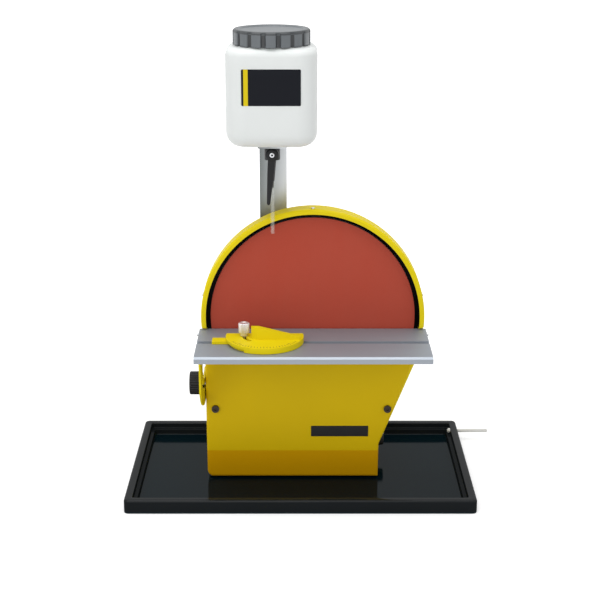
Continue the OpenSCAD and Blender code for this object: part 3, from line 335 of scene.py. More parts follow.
def make_metals(colours):
    """Planed aluminium with a painted highlight along its front edge, and the steels with drawn or
    turned lines.
    """
    f = Finish("planed_aluminium")
    lines = f.noise(1.0, 3.0, 0.65, (14.0, 1300.0, 1300.0))
    cloud = f.noise(1.0, stretch=(6.0, 22.0, 22.0))
    low, high, mid = middle("table")
    wide, past = mm(2.3, 0.5)
    y, z = f.parts((mid[0], low[1], high[2]))[1:]
    # painted highlight: a lighter band along the table's front top edge
    edge_highlight = (y < wide) * (y > -past) * (z > -wide) * (z < past)
    shade = f.shades(lines * 0.7 + cloud * 0.3, colours.aluminium, 0.86, 1.12)
    f.surface(base_color=f.mix(edge_highlight, shade, tint(colours.aluminium, 1.5)), metallic=0.55,
              roughness=0.46 + 0.14 * lines + 0.08 * cloud, specular_ior_level=0.3,
              normal=f.bump(lines, FINE))

    for name, dark, light, metallic, rough in (
            ("bright_steel", (0.50, 0.51, 0.53), (0.66, 0.67, 0.69), 1.0, 0.24),
            ("pale_steel", (0.68, 0.65, 0.66), (0.80, 0.77, 0.78), 0.75, 0.36)):
        f = Finish(name)
        lines = f.noise(1.0, stretch=(700.0, 700.0, 60.0))
        f.surface(base_color=f.mix(lines, dark, light), metallic=metallic,
                  roughness=rough + 0.14 * lines, normal=f.bump(lines, FINE))

    drawn = (1500.0, 1500.0, 18.0)
    f = Finish("grey_steel")
    lines = f.noise(1.0, 3.0, 0.6, drawn)
    f.surface(base_color=f.mix(lines, (0.36, 0.37, 0.37), (0.52, 0.53, 0.53)), metallic=0.9,
              roughness=0.34 + 0.12 * f.noise(30.0), normal=f.bump(lines, DRAWN))

    f = Finish("post_steel")
    low, high = middle("water_post")[:2]
    # painted shade: the post is darker on its left side and lighter towards its right
    across = (f.parts()[0] - low[0]) / (high[0] - low[0])
    lines = f.noise(1.0, 3.0, 0.6, drawn)
    shade = f.mix(across, (0.12, 0.135, 0.135), (0.58, 0.60, 0.62))
    f.surface(base_color=f.mix(lines * 0.4, shade, (0.24, 0.25, 0.25)), metallic=0.9,
              roughness=0.38 + 0.1 * lines, normal=f.bump(lines, DRAWN))

    f = Finish("dark_steel")
    cloud = f.noise(400.0)
    f.surface(base_color=f.mix(cloud, (0.022, 0.016, 0.012), (0.05, 0.038, 0.03)), metallic=0.6,
              roughness=0.36 + 0.16 * cloud)


def make_plastics(colours):
    """Tray, lid, bottle and pipe plastics, and moulded ones that differ by colour and gloss."""
    f = Finish("tray_black")
    floor_top, rim_foot = mm(2.6, 15.0)
    cloud = f.noise(7.0, 3.0)
    height = f.parts()[2]
    floor = height < floor_top
    plain = f.shades(cloud, colours.tray, 0.85, 1.2)
    f.surface(base_color=f.mix(floor, plain, colours.tray_floor), roughness=0.5 + 0.10 * cloud,
              specular_ior_level=0.0, coat_roughness=0.10, coat_ior=1.5,
              coat_weight=0.09 + 0.13 * floor + 0.24 * (height > rim_foot),
              normal=f.bump(f.noise(900.0), FINE))

    f = Finish("lid_plastic")
    high, mid = middle("bottle_lid")[1:]
    x, y, z = f.parts((mid[0], mid[1], high[2]))
    reach = (x * x + y * y) ** 0.5
    cloud = f.noise(60.0)
    shade = f.shades(cloud, colours.lid, 0.85, 1.15)
    # painted highlights on the ribs and the flat top and painted shade in the grooves and on the
    # rim, by height under the lid's top and distance from its axis
    flat_z, rib_z = mm(-3.0, -3.6)
    flat_r, rim_r, groove_r, rib_r = mm(38.0, 43.0, 43.2, 43.8)
    for region, share in (((z < rib_z) * (reach > rib_r), 1.4),
                          ((z < rib_z) * (reach < groove_r), 0.3),
                          ((z > flat_z) * (reach < flat_r), 1.5),
                          ((z > rib_z) * (reach > rim_r), 0.55)):
        shade = f.mix(region, shade, tint(colours.lid, share))
    f.surface(base_color=shade, roughness=0.34 + 0.1 * cloud)

    for name, dark, light, rough, gloss in (
            ("black_plastic", (0.007, 0.007, 0.008), (0.013, 0.013, 0.014), 0.42, 0.22),
            ("grey_plastic", tint(colours.lid, 0.85), tint(colours.lid, 1.15), 0.38, 0.5),
            ("pale_plastic", (0.62, 0.62, 0.60), (0.70, 0.70, 0.68), 0.42, 0.5),
            ("red_plastic", (0.30, 0.012, 0.010), (0.38, 0.018, 0.014), 0.26, 0.5),
            ("green_board", (0.02, 0.10, 0.04), (0.03, 0.13, 0.05), 0.45, 0.4),
            ("rubber", (0.016, 0.016, 0.016), (0.028, 0.028, 0.027), 0.74, 0.3)):
        f = Finish(name)
        cloud = f.noise(60.0)
        f.surface(base_color=f.mix(cloud, dark, light), roughness=rough + 0.1 * (cloud - 0.5),
                  specular_ior_level=gloss, normal=f.bump(f.noise(1700.0, 1.0), MOULDED))

    f = Finish("bottle_plastic")
    cloud = f.noise(26.0)
    f.surface(base_color=f.shades(cloud, colours.bottle, 0.97, 1.02),
              roughness=0.36 + 0.08 * cloud, subsurface_weight=0.25,
              subsurface_radius=(1.0, 1.0, 1.0), subsurface_scale=4.0 * MM)

    f = Finish("clear_plastic")
    f.surface(base_color=(0.86, 0.88, 0.82), roughness=0.12 + 0.1 * f.noise(200.0), alpha=0.09)


def make_prints():
    """The plain label with its band, and the inks of the scales."""
    f = Finish("label_print")
    across = f.parts()[0]
    start, end = middle("bottle_label")[0][0] + mm(2.5, 7.5)
    ground = f.mix(across < start, (0.006, 0.007, 0.011), (0.015, 0.015, 0.015))
    band = (across > start) * (across < end)
    f.surface(base_color=f.mix(band, ground, (0.72, 0.56, 0.01)),
              roughness=0.34 + 0.1 * f.noise(90.0), specular_ior_level=0.1)

    for name, ink in (("mark_white", (0.72, 0.72, 0.70)), ("mark_black", (0.012, 0.012, 0.012))):
        f = Finish(name)
        f.surface(base_color=ink, roughness=0.5 + 0.1 * f.noise(300.0))


def middle(node):
    """Lowest corner, highest corner and middle of a node, as arrays."""
    low, high = (np.array(corner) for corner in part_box(node))
    return low, high, (low + high) / 2


def body_of(node):
    """Name of the body that carries a node."""
    bodies = RECORD["behaviour"]["bodies"]
    return next(body for body, nodes in bodies.items() if node in nodes)


def put(name, verts, faces, slot, body, nodes=(), finish=None, sharp=38.0, edge=0.0):
    """Makes a piece from computed vertices and faces, merged and turned outwards."""
    mesh = bpy.data.meshes.new(name)
    mesh.from_pydata(verts.tolist(), [], faces)
    work = bmesh.new()
    work.from_mesh(mesh)
    bmesh.ops.remove_doubles(work, verts=work.verts, dist=WELD)
    bmesh.ops.recalc_face_normals(work, faces=work.faces)
    work.to_mesh(mesh)
    work.free()
    settle(name, mesh, slot, body, nodes, finish, sharp, edge)


def stand_in(node, verts, faces, **looks):
    """A computed piece in the place of a node, with the node's slot and body."""
    put(node + "_shaped", verts, faces, NODE_SLOT[node], body_of(node), [node], **looks)


def soften(node, edge, finish=None, sharp=50.0):
    """A merged copy of a node whose flat faces are joined and whose edges get a round."""
    mesh = frame["nodes"][node].data.copy()
    work = bmesh.new()
    work.from_mesh(mesh)
    bmesh.ops.remove_doubles(work, verts=work.verts, dist=SOLID_WELD)
    bmesh.ops.dissolve_limit(work, angle_limit=FLAT_ANGLE, use_dissolve_boundaries=False,
                             verts=work.verts, edges=work.edges)
    work.to_mesh(mesh)
    work.free()
    settle(node + "_shaped", mesh, NODE_SLOT[node], body_of(node), [node], finish, sharp, edge)


def settle(name, mesh, slot, body, nodes, finish, sharp, edge):
    """Links a mesh as a piece with its finish, body and slot, smooths it up to an angle, rounds
    its edges where a width is given, and hides the nodes that it stands for."""
    piece = bpy.data.objects.new(name, mesh)
    bpy.context.scene.collection.objects.link(piece)
    mesh.materials.clear()
    mesh.materials.append(FINISHES[finish or slot])
    mesh.shade_smooth()
    mesh.set_sharp_from_angle(angle=math.radians(sharp))
    if edge:
        bevel = piece.modifiers.new("Edge round", "BEVEL")
        bevel.width, bevel.segments = edge, EDGE_STEPS
        bevel.limit_method, bevel.angle_limit = "ANGLE", EDGE_ANGLE
        bevel.use_clamp_overlap = True
        even = piece.modifiers.new("Even shade", "WEIGHTED_NORMAL")
        even.keep_sharp = True
    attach(piece, body)
    if nodes:
        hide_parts(*nodes)


def joined(*parts):
    """Several (vertices, faces) pairs as one."""
    verts, faces, count = [], [], 0
    for points, polygons in parts:
        verts.append(points)
        faces += [[corner + count for corner in polygon] for polygon in polygons]
        count += len(points)
    return np.concatenate(verts), faces


def rings(grid, closed=False):
    """Quads between the rows of a grid of closed rings. Where closed, the last row runs on to the
    first; otherwise a face covers the first ring and the last."""
    rows, ring = grid.shape[:2]
    index = np.arange(rows * ring).reshape(rows, ring)
    below = index if closed else index[:-1]
    above = np.roll(index, -1, 0) if closed else index[1:]
    quads = np.stack([below, np.roll(below, -1, 1), np.roll(above, -1, 1), above], -1)
    faces = quads.reshape(-1, 4).tolist()
    if not closed:
        faces += [index[0][::-1].tolist(), index[-1].tolist()]
    return grid.reshape(-1, 3), faces


def stacked(ring, height, mid):
    """Level rings about a middle, each at its own height."""
    level = np.broadcast_to(height[:, None, None], (*ring.shape[:2], 1))
    return rings(np.concatenate([ring + mid[:2], level], -1))


def shell_of(front, rear):
    """A closed sheet from two grids of the same shape, joined around their borders."""
    rows, columns = front.shape[:2]
    count = rows * columns
    index = np.arange(count).reshape(rows, columns)
    quads = np.stack([index[:-1, :-1], index[1:, :-1], index[1:, 1:], index[:-1, 1:]], -1)
    quads = quads.reshape(-1, 4)
    border = np.concatenate([index[:-1, 0], index[-1, :-1], index[:0:-1, -1], index[0, :0:-1]])
    after = np.roll(border, -1)
    walls = np.stack([border, after, after + count, border + count], -1)
    faces = np.concatenate([quads, quads[:, ::-1] + count, walls])
    return np.concatenate([front.reshape(-1, 3), rear.reshape(-1, 3)]), faces.tolist()


def rounded(points, radii, steps=5, closed=False):
    """Corners turned into arcs: an arc of radius r starts r / tan(half the corner's angle) before
    the corner, and its points turn evenly about its centre."""
    points = np.asarray(points, float)
    radii = np.broadcast_to(radii, len(points))
    turn = np.linspace(0, 1, steps + 1)[:, None]
    out = []
    for k, (corner, radius) in enumerate(zip(points, radii)):
        if radius <= 0 or (not closed and k in (0, len(points) - 1)):
            out.append(corner[None])
            continue
        back = points[k - 1] - corner
        ahead = points[(k + 1) % len(points)] - corner
        back, ahead = back / np.linalg.norm(back), ahead / np.linalg.norm(ahead)
        half = math.acos(np.clip(back @ ahead, -1, 1)) / 2
        if half > STRAIGHT:
            out.append(corner[None])
            continue
        start = corner + back * radius / math.tan(half)
        end = corner + ahead * radius / math.tan(half)
        between = (back + ahead) / np.linalg.norm(back + ahead)
        centre = corner + between * radius / math.sin(half)
        sweep = math.pi - 2 * half
        arc = np.sin((1 - turn) * sweep) * (start - centre) + np.sin(turn * sweep) * (end - centre)
        out.append(centre + arc / math.sin(sweep))
    return np.concatenate(out)


def revolve(profile, centre, axis, turns, ripple=None, closed=False):
    """A profile of (radius, height) pairs turned about an axis through a centre: radius times the
    angle's cosine and sine across the axis, and the height along it. ripple adds to the radius by
    angle and row."""
    angle = np.linspace(0, 2 * math.pi, turns, endpoint=False)
    radius = np.repeat(profile[:, :1], turns, 1)
    if ripple is not None:
        radius = np.maximum(radius + ripple(angle, profile), 0)
    across, along, height = AXES[axis]
    grid = np.zeros((len(profile), turns, 3))
    grid[..., across] = radius * np.cos(angle) + centre[across]
    grid[..., along] = radius * np.sin(angle) + centre[along]
    grid[..., height] = profile[:, 1:]
    return rings(grid, closed)


def wave(count, angle):
    """0 to 1 and back, so many times around a turn: half of 1 - cos(count x angle)."""
    return 0.5 - 0.5 * np.cos(count * angle)


def ramp(value, start, width):
    """0 up to a start and 1 from a width past it, with a straight rise between."""
    return np.clip((value - start) / width, 0, 1)


def columns_of(*sizes):
    """Sizes, each one number or an array, as columns that spread along a ring."""
    return [np.asarray(size, float)[..., None] for size in sizes]


def box_ring(half_w, half_d, radius, steps=8):
    """Rectangles with round corners about the origin, one for each size given: a quarter arc of
    the radius at each corner, with the same count of points for any size."""
    half_w, half_d, radius = columns_of(half_w, half_d, radius)
    turn = (np.linspace(0, QUARTER, steps + 1) + np.arange(4)[:, None] * QUARTER).ravel()
    side_x, side_y = np.repeat([[1, -1, -1, 1], [1, 1, -1, -1]], steps + 1, 1)
    return np.stack([side_x * (half_w - radius) + radius * np.cos(turn),
                     side_y * (half_d - radius) + radius * np.sin(turn)], -1)


def ray_ring(angle, half_w, half_d, radius):
    """Where rays from the middle meet rectangles with round corners: a straight side where the
    ray reaches one, and otherwise the far root of the corner circle's equation."""
    half_w, half_d, radius = columns_of(half_w, half_d, radius)
    c, s = np.abs(np.cos(angle)), np.abs(np.sin(angle))
    side = half_w / np.maximum(c, TINY)
    end = half_d / np.maximum(s, TINY)
    along = c * (half_w - radius) + s * (half_d - radius)
    gap = (half_w - radius) ** 2 + (half_d - radius) ** 2 - radius ** 2
    corner = along + np.sqrt(np.maximum(along ** 2 - gap, 0))
    reach = np.where(side * s <= half_d - radius, side,
                     np.where(end * c <= half_w - radius, end, corner))
    return np.stack([reach * np.cos(angle), reach * np.sin(angle)], -1)


def radial_mark(axis, centre, angle, inner, outer, wide, tall):
    """A thin box that runs out from a centre at an angle, and stands so far to both sides of the
    centre along an axis."""
    across, along, height = AXES[axis]
    out = np.array([math.cos(angle), math.sin(angle)])
    side = np.array([-out[1], out[0]]) * wide / 2
    near, far = out * inner, out * outer
    ring = np.array([near - side, far - side, far + side, near + side])
    grid = np.zeros((2, 4, 3))
    grid[..., across], grid[..., along] = ring[:, 0], ring[:, 1]
    grid[0, :, height], grid[1, :, height] = -tall, tall
    return rings(grid + np.array(centre))


class SANDER_OT_finishes(bpy.types.Operator):
    """Builds the finishes and gives each carried-over solid its own"""
    bl_idname = "sander.finishes"
    bl_label = "Finishes"

    def execute(self, context):
        for make in (make_paints, make_abrasive, make_metals, make_plastics):
            make(context.scene.sander_colours)
        make_prints()
        for node, solid in frame["nodes"].items():
            solid.data.materials.clear()
            solid.data.materials.append(FINISHES[NODE_SLOT[node]])
        return {"FINISHED"}


class SANDER_OT_castings(bpy.types.Operator):
    """Rounds the edges of the castings, sheets, bars and fasteners that keep their solid's shape"""
    bl_idname = "sander.castings"
    bl_label = "Castings and sheets"

    def execute(self, context):
        sizes = context.scene.sander_sizes
        soften("housing", sizes.casting_round, finish="housing_paint")
        for nodes, edge in (
                (("rear_cover", "table", "tilt_quadrant", "gauge_bar", "gauge_head", "gauge_pivot",
                  "dust_port", "cable_gland", "base_plate", "backing_disc", "tap_body",
                  "drain_nut"), sizes.sheet_round),
                (("gauge_grip",), 2.4 * sizes.sheet_round),
                (("switch_frame", "switch_rocker"), 0.4 * sizes.screw_round),
                (("cover_screws", "guard_screws", "rear_cover_screws", "post_screws", "pivot_pins",
                  "quadrant_screws", "name_plate", "rubber_feet"), sizes.screw_round)):
            for node in nodes:
                soften(node, edge)
        return {"FINISHED"}


class SANDER_OT_tray(bpy.types.Operator):
    """Makes the drip tray: a rim profile carried around a rectangle with round corners"""
    bl_idname = "sander.tray"
    bl_label = "Drip tray"

    def execute(self, context):
        low, high, mid = middle("tray")
        half_w, half_d = (high - low)[:2] / 2
        # (distance in from the outside, height), from the well's floor over the rim and under it
        corners = mm([30, 2], [14.5, 2], [14.2, 9.5], [9.8, 9.8], [9.5, 17], [0, 17], [0, 0],
                     [2, 0], [2, 15], [7.6, 15], [7.8, 7.5], [12.5, 7.5], [12.5, 0], [30, 0])
        arcs = mm(0, 1.6, 1.0, 1.2, 1.5, 2.6, 0.4, 0.4, 1, 0.6, 0.6, 0.6, 0.3, 0)
        inset, height = rounded(corners, arcs).T
        corner, tightest = mm(6.0, 3.75)
        turned = np.maximum(corner - inset, tightest)
        ring = box_ring(half_w - inset, half_d - inset, turned)
        stand_in("tray", *stacked(ring, np.minimum(height, high[2]), mid), sharp=30)
        return {"FINISHED"}


class SANDER_OT_front_cover(bpy.types.Operator):
    """Makes the front cover: a sheet over its outline, bent along a line, with rolled edges"""
    bl_idname = "sander.front_cover"
    bl_label = "Front cover"

    def execute(self, context):
        low, high = middle("front_cover")[:2]
        roll = context.scene.sander_sizes.cover_round
        thick, corner, ease = mm(2.0, 8.0, 3.0)
        kink = mm(97.4, 49.0)

        # heights, closer together along the edges, the bend and the kink of the right side
        edge_rows = roll * (1 - np.cos(np.linspace(0, QUARTER, 9)))
        soft = np.linspace(-ease, ease, 9)
        z = np.unique(np.concatenate([
            low[2] + edge_rows, low[2] + np.linspace(roll, corner, 5), COVER_BEND + soft,
            np.linspace(low[2] + corner, high[2] - roll, 25), kink[1] + soft / 2,
            high[2] - edge_rows]).round(7))

        # the left side is upright over a round corner, and the right one leans out above the kink
        lift = np.clip(corner - (z - low[2]), 0, corner)
        left = low[0] + corner - np.sqrt(corner ** 2 - lift ** 2)
        rise = (high[0] - kink[0]) / (high[2] - kink[1])
        right = kink[0] + np.clip(z - kink[1], 0, None) * rise
        width = right - left
        share = np.concatenate([edge_rows[:, None] / width,
                                np.linspace(roll / width, 1 - roll / width, 9)[1:-1],
                                1 - edge_rows[::-1, None] / width])
        x = left + share * width

        # within the roll's width the front falls back as a quarter ellipse
        near = np.minimum(np.minimum(x - left, right - x), np.minimum(z - low[2], high[2] - z))
        depth = 0.95 * thick * (1 - np.sqrt(1 - np.clip(1 - near / roll, 0, 1) ** 2))
        # below the bend the sheet leans at an even slope, eased in by a parabola
        slope = (high[1] - low[1] - thick) / (COVER_BEND - low[2])
        gap = COVER_BEND - z
        eased = np.where(gap > ease, gap, (gap + ease) ** 2 / (4 * ease))
        back = slope * np.where(gap < -ease, 0, eased)

        level = np.broadcast_to(z, x.shape)
        front = np.stack([x, low[1] + back + depth, level], -1)
        rear = np.stack([x, np.broadcast_to(low[1] + back + thick, x.shape), level], -1)
        stand_in("front_cover", *shell_of(front, rear), finish="cover_paint", sharp=60)
        return {"FINISHED"}


class SANDER_OT_disc(bpy.types.Operator):
    """Makes the abrasive disc: a thin turned sheet with a soft edge"""
    bl_idname = "sander.disc"
    bl_label = "Abrasive disc"

    def execute(self, context):
        low, high, mid = middle("abrasive_disc")
        radius, front, rear = (high[0] - low[0]) / 2, low[1], high[1]
        flat = rounded([[0, front], [radius, front], [radius, rear], [0, rear]], mm(0, 0.5, 0.1, 0))
        stand_in("abrasive_disc", *revolve(flat, mid, "Y", 256))
        return {"FINISHED"}


class SANDER_OT_knobs(bpy.types.Operator):
    """Makes the clamp knob, the gauge knob and the speed dial: profiles turned with a ripple"""
    bl_idname = "sander.knobs"
    bl_label = "Knobs"

    def execute(self, context):
        sizes = context.scene.sander_sizes
        self.clamp_knob(sizes.knob_flutes)
        self.gauge_knob(sizes.knurl_teeth)
        self.speed_dial(sizes.dial_grips)
        return {"FINISHED"}

    def clamp_knob(self, count):
        """A cup with a hollow front; a wave squared, deepest at its edge, cuts the flutes."""
        low, high, mid = middle("clamp_knob")
        outer, inner, end = low[0], high[0] - 0.8 * MM, high[0]
        radius = (high[1] - low[1]) / 2
        seat, bore = mm(6.0, 3.05)
        side = rounded(
            [[0, outer + 1.2 * MM], [7.5 * MM, outer + 1.2 * MM], [8.5 * MM, outer],
             [radius - 1.0 * MM, outer], [radius, outer + 1.0 * MM], [radius, inner - 1.2 * MM],
             [radius - 1.2 * MM, inner], [seat, inner], [seat, end], [bore, end],
             [bore, outer + 2.5 * MM], [0, outer + 2.5 * MM]],
            mm(0, 0.6, 0.6, 0.6, 0.6, 0.6, 0.6, 0.3, 0.2, 0.2, 0.2, 0), 3)

        def flutes(angle, profile):
            margin, rise, deep = mm(1.8, 1.4, 0.75)
            grip = ramp(profile[:, :1], radius - margin, rise)
            return -deep * grip * wave(count, angle) ** 2

        stand_in("clamp_knob", *revolve(side, mid, "X", 224, flutes))

    def gauge_knob(self, count):
        """A turned head on a neck; a wave around the head cuts the knurl."""
        low, high, mid = middle("gauge_knob")
        foot, top = low[2], high[2]
        bore, neck, head = mm(2.05, 4.6, 6.5)
        side = rounded(
            [[0, top - 2.8 * MM], [bore, top - 2.8 * MM], [bore, foot], [neck, foot],
             [neck, foot + 3.6 * MM], [head, foot + 4.2 * MM], [head, top - 0.9 * MM],
             [head - 0.9 * MM, top], [3.4 * MM, top], [2.9 * MM, top - 0.5 * MM],
             [0, top - 0.5 * MM]],
            mm(0, 0.1, 0.2, 0.3, 0.5, 0.4, 0.3, 0.3, 0.2, 0.2, 0), 3)

        def knurl(angle, profile):
            start, rise, deep = mm(5.6, 0.8, 0.45)
            return -deep * ramp(profile[:, :1], start, rise) * wave(count, angle)

        stand_in("gauge_knob", *revolve(side, mid, "Z", 240, knurl), finish="pale_steel")

    def speed_dial(self, count):
        """A stepped dial with a pointer, and marks around it; a wave squared cuts the grips."""
        low, high, mid = middle("speed_dial")
        foot, top = low[0], high[0]
        radius, bore = mm(11.0, 3.05)
        side = rounded(
            [[0, top], [7.4 * MM, top], [8.2 * MM, top - 1.0 * MM], [8.8 * MM, foot + 3.2 * MM],
             [radius, foot + 2.2 * MM], [radius, foot], [bore, foot], [bore, foot + 7.3 * MM],
             [0, foot + 7.3 * MM]], mm(0, 0.6, 0.6, 0.8, 0.5, 0.2, 0.1, 0.1, 0), 3)

        def grips(angle, profile):
            above, beyond, deep = mm(3.4, 6.5, 0.6)
            grip = (profile[:, 1:] > foot + above) & (profile[:, :1] > beyond)
            return -deep * grip * wave(count, angle) ** 2

        stand_in("speed_dial", *revolve(side, mid, "X", 180, grips))
        pointer = radial_mark("X", (top + 0.025 * MM, mid[1], mid[2]), QUARTER,
                              *mm(2.0, 7.0, 1.0, 0.125))
        put("dial_pointer", *pointer, "black_plastic", "dial", finish="mark_white")
        marks = [radial_mark("X", (foot - 0.4 * MM, mid[1], mid[2]), math.radians(90 - k * 27),
                             *mm(12.6, 14.4 if k % 5 else 15.6, 0.7, 0.1)) for k in range(11)]
        put("dial_marks", *joined(*marks), "yellow_paint", "machine", finish="mark_black")


class SANDER_OT_gauge_scale(bpy.types.Operator):
    """Adds the degree marks of the gauge head and of the tilt quadrant"""
    bl_idname = "sander.gauge_scale"
    bl_label = "Scales"

    def execute(self, context):
        raised = 0.06 * MM
        pivot = middle("gauge_pivot")[2]
        low, high = middle("gauge_head")[:2]
        reach = (high[0] - low[0]) / 2 - 1.8 * MM
        marks = [radial_mark("Z", (pivot[0], pivot[1], high[2]), math.radians(270 + turn),
                             reach - (3.7 if turn % 45 else 5.7) * MM, reach, 0.45 * MM, raised)
                 for turn in range(-60, 61, 5)]
        put("gauge_marks", *joined(*marks), "yellow_paint", "gauge_swing", finish="mark_black")

        pin = middle("pivot_pins")[2]
        plate = middle("tilt_quadrant")[0][0]
        marks = [radial_mark("X", (plate, pin[1], pin[2]), math.radians(180 + turn),
                             (77.5 if turn % 15 else 75.5) * MM, 82.5 * MM, 0.5 * MM, raised)
                 for turn in range(45, 108, 5)]
        put("tilt_marks", *joined(*marks), "yellow_paint", "table_set", finish="mark_black")
        return {"FINISHED"}


class SANDER_OT_water_bottle(bpy.types.Operator):
    """Makes the bottle, rings of rectangles with round corners that pass into a round neck and
    come back inside as a wall, and its flat label"""
    bl_idname = "sander.water_bottle"
    bl_label = "Water bottle"

    def execute(self, context):
        low, high, mid = middle("water_bottle")
        half_w, half_d = (high - low)[:2] / 2
        foot, top, wall, neck, corner, tightest = mm(17.0, 9.0, 1.6, 39.0, 24.0, 6.0)
        base, shoulder, mouth = low[2], low[2] + 113.0 * MM, high[2]

        def quarter(radius, inward):
            """(inset, rise) rows of a quarter circle from a flat end to the side, so far inside."""
            turn = np.linspace(0, QUARTER, 9)
            return inward + (radius - inward) * (1 - np.stack([np.sin(turn), np.cos(turn)], -1))

        # square rows are (inset from the widest ring, height): hollow foot, side and shoulder
        outside = np.concatenate([
            mm([30.0, 2.0], [22.0, 1.6], [18.5, 0.2]) + [0, base], quarter(foot, 0) + [0, base],
            [[0, base + (shoulder - base) * share] for share in (0.3, 0.5, 0.7, 0.85)],
            quarter(top, 0)[::-1] * [1, -1] + [0, shoulder]])
        inside = np.concatenate([
            quarter(top, wall) * [1, -1] + [0, shoulder], quarter(foot, wall)[::-1] + [0, base],
            mm([18.0, 3.2], [30.0, 3.6]) + [0, base]])
        # round rows are (radius beyond the neck's, height): collar, thread, mouth and bore
        necks = np.concatenate([
            mm([3.2, 0.3], [0.8, 0.9], [0, 2.2], [0, 4.0], [0.7, 4.4], [0.7, 5.6], [0, 6.0])
            + [0, shoulder],
            mm([0, -0.5], [-0.5, 0], [-2.0, 0], [-2.4, -0.4]) + [0, mouth],
            mm([-2.4, -1.4]) + [0, shoulder]]) + [neck, 0]

        angle = np.linspace(0, 2 * math.pi, 224, endpoint=False)
        circle = np.stack([np.cos(angle), np.sin(angle)], -1)

        def square(rows):
            """The square rows' rings, whose corners get tighter with the inset."""
            inset = rows[:, 0]
            turned = np.maximum(corner - inset, tightest)
            return ray_ring(angle, half_w - inset, half_d - inset, turned)

        ring = np.concatenate([square(outside), necks[:, :1, None] * circle, square(inside)])
        height = np.concatenate([outside, necks, inside])[:, 1]
        stand_in("water_bottle", *stacked(ring, height, mid), sharp=60)

        low, high, mid = middle("bottle_label")
        sunk = 0.2 * MM
        ring = box_ring((high[0] - low[0]) / 2, (high[2] - low[2]) / 2, 1.5 * MM, 5)
        grid = np.zeros((2, len(ring), 3))
        grid[..., 0], grid[..., 2] = ring[:, 0] + mid[0], ring[:, 1] + mid[2]
        grid[0, :, 1], grid[1, :, 1] = high[1] + sunk, low[1] + sunk
        stand_in("bottle_label", *rings(grid), finish="label_print", edge=0.05 * MM)
        return {"FINISHED"}


class SANDER_OT_lid(bpy.types.Operator):
    """Makes the screw lid: a turned cup with a raised rim and upright ribs around it"""
    bl_idname = "sander.lid"
    bl_label = "Bottle lid"

    def execute(self, context):
        sizes = context.scene.sander_sizes
        low, high, mid = middle("bottle_lid")
        top, foot, radius, bore = high[2], low[2], (high[0] - low[0]) / 2, 40.2 * MM
        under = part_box("lid_seal")[1][2] + 0.3 * MM
        side = rounded(
            [[0, top - 1.6 * MM], [radius - 9.0 * MM, top - 1.6 * MM],
             [radius - 7.5 * MM, top - 0.4 * MM], [radius - 5.0 * MM, top],
             [radius - 1.8 * MM, top], [radius, top - 2.0 * MM], [radius, foot + 5.0 * MM],
             [radius, foot], [bore, foot], [bore, under], [0, under]],
            mm(0, 1.0, 1.0, 1.0, 1.4, 1.4, 0, 0.6, 0.2, 0.3, 0), 4)

        def ribs(angle, profile):
            """Grooves where a wave is near its top, only on the outside and below the rim."""
            rim, run_out, margin, rise = mm(1.2, 1.6, 2.2, 1.2)
            start, slope = 0.68, 0.2
            upright = ramp(-profile[:, 1:], rim - top, run_out)
            outside = ramp(profile[:, :1], radius - margin, rise)
            groove = ramp(wave(sizes.lid_ribs, angle), start, slope)
            return -sizes.lid_rib_depth * upright * outside * groove

        stand_in("bottle_lid", *revolve(side, mid, "Z", 440, ribs), finish="lid_plastic")
        return {"FINISHED"}


class SANDER_OT_post(bpy.types.Operator):
    """Makes the post: a flat bar carried along a path that bends forward under the bottle"""
    bl_idname = "sander.post"
    bl_label = "Water post"

    def execute(self, context):
        low, high, mid = middle("water_post")
        thick, bend, edge = mm(4.0, 7.0, 0.9)
        back, top = high[1] - thick / 2, high[2] - thick / 2
        path = rounded([[back, low[2]], [back, top], [low[1], top]], bend, 14)
        # the section's depth runs along the path's normal, its step turned by a quarter
        step = np.gradient(path, axis=0)
        step /= np.linalg.norm(step, axis=1)[:, None]
        normal = np.stack([step[:, 1], -step[:, 0]], -1)
        section = box_ring((high[0] - low[0]) / 2, thick / 2, edge, 4)
        grid = np.zeros((len(path), len(section), 3))
        grid[..., 0] = section[:, 0] + mid[0]
        grid[..., 1:] = path[:, None, :] + section[None, :, 1:] * normal[:, None, :]
        stand_in("water_post", *rings(grid), finish="post_steel")
        return {"FINISHED"}


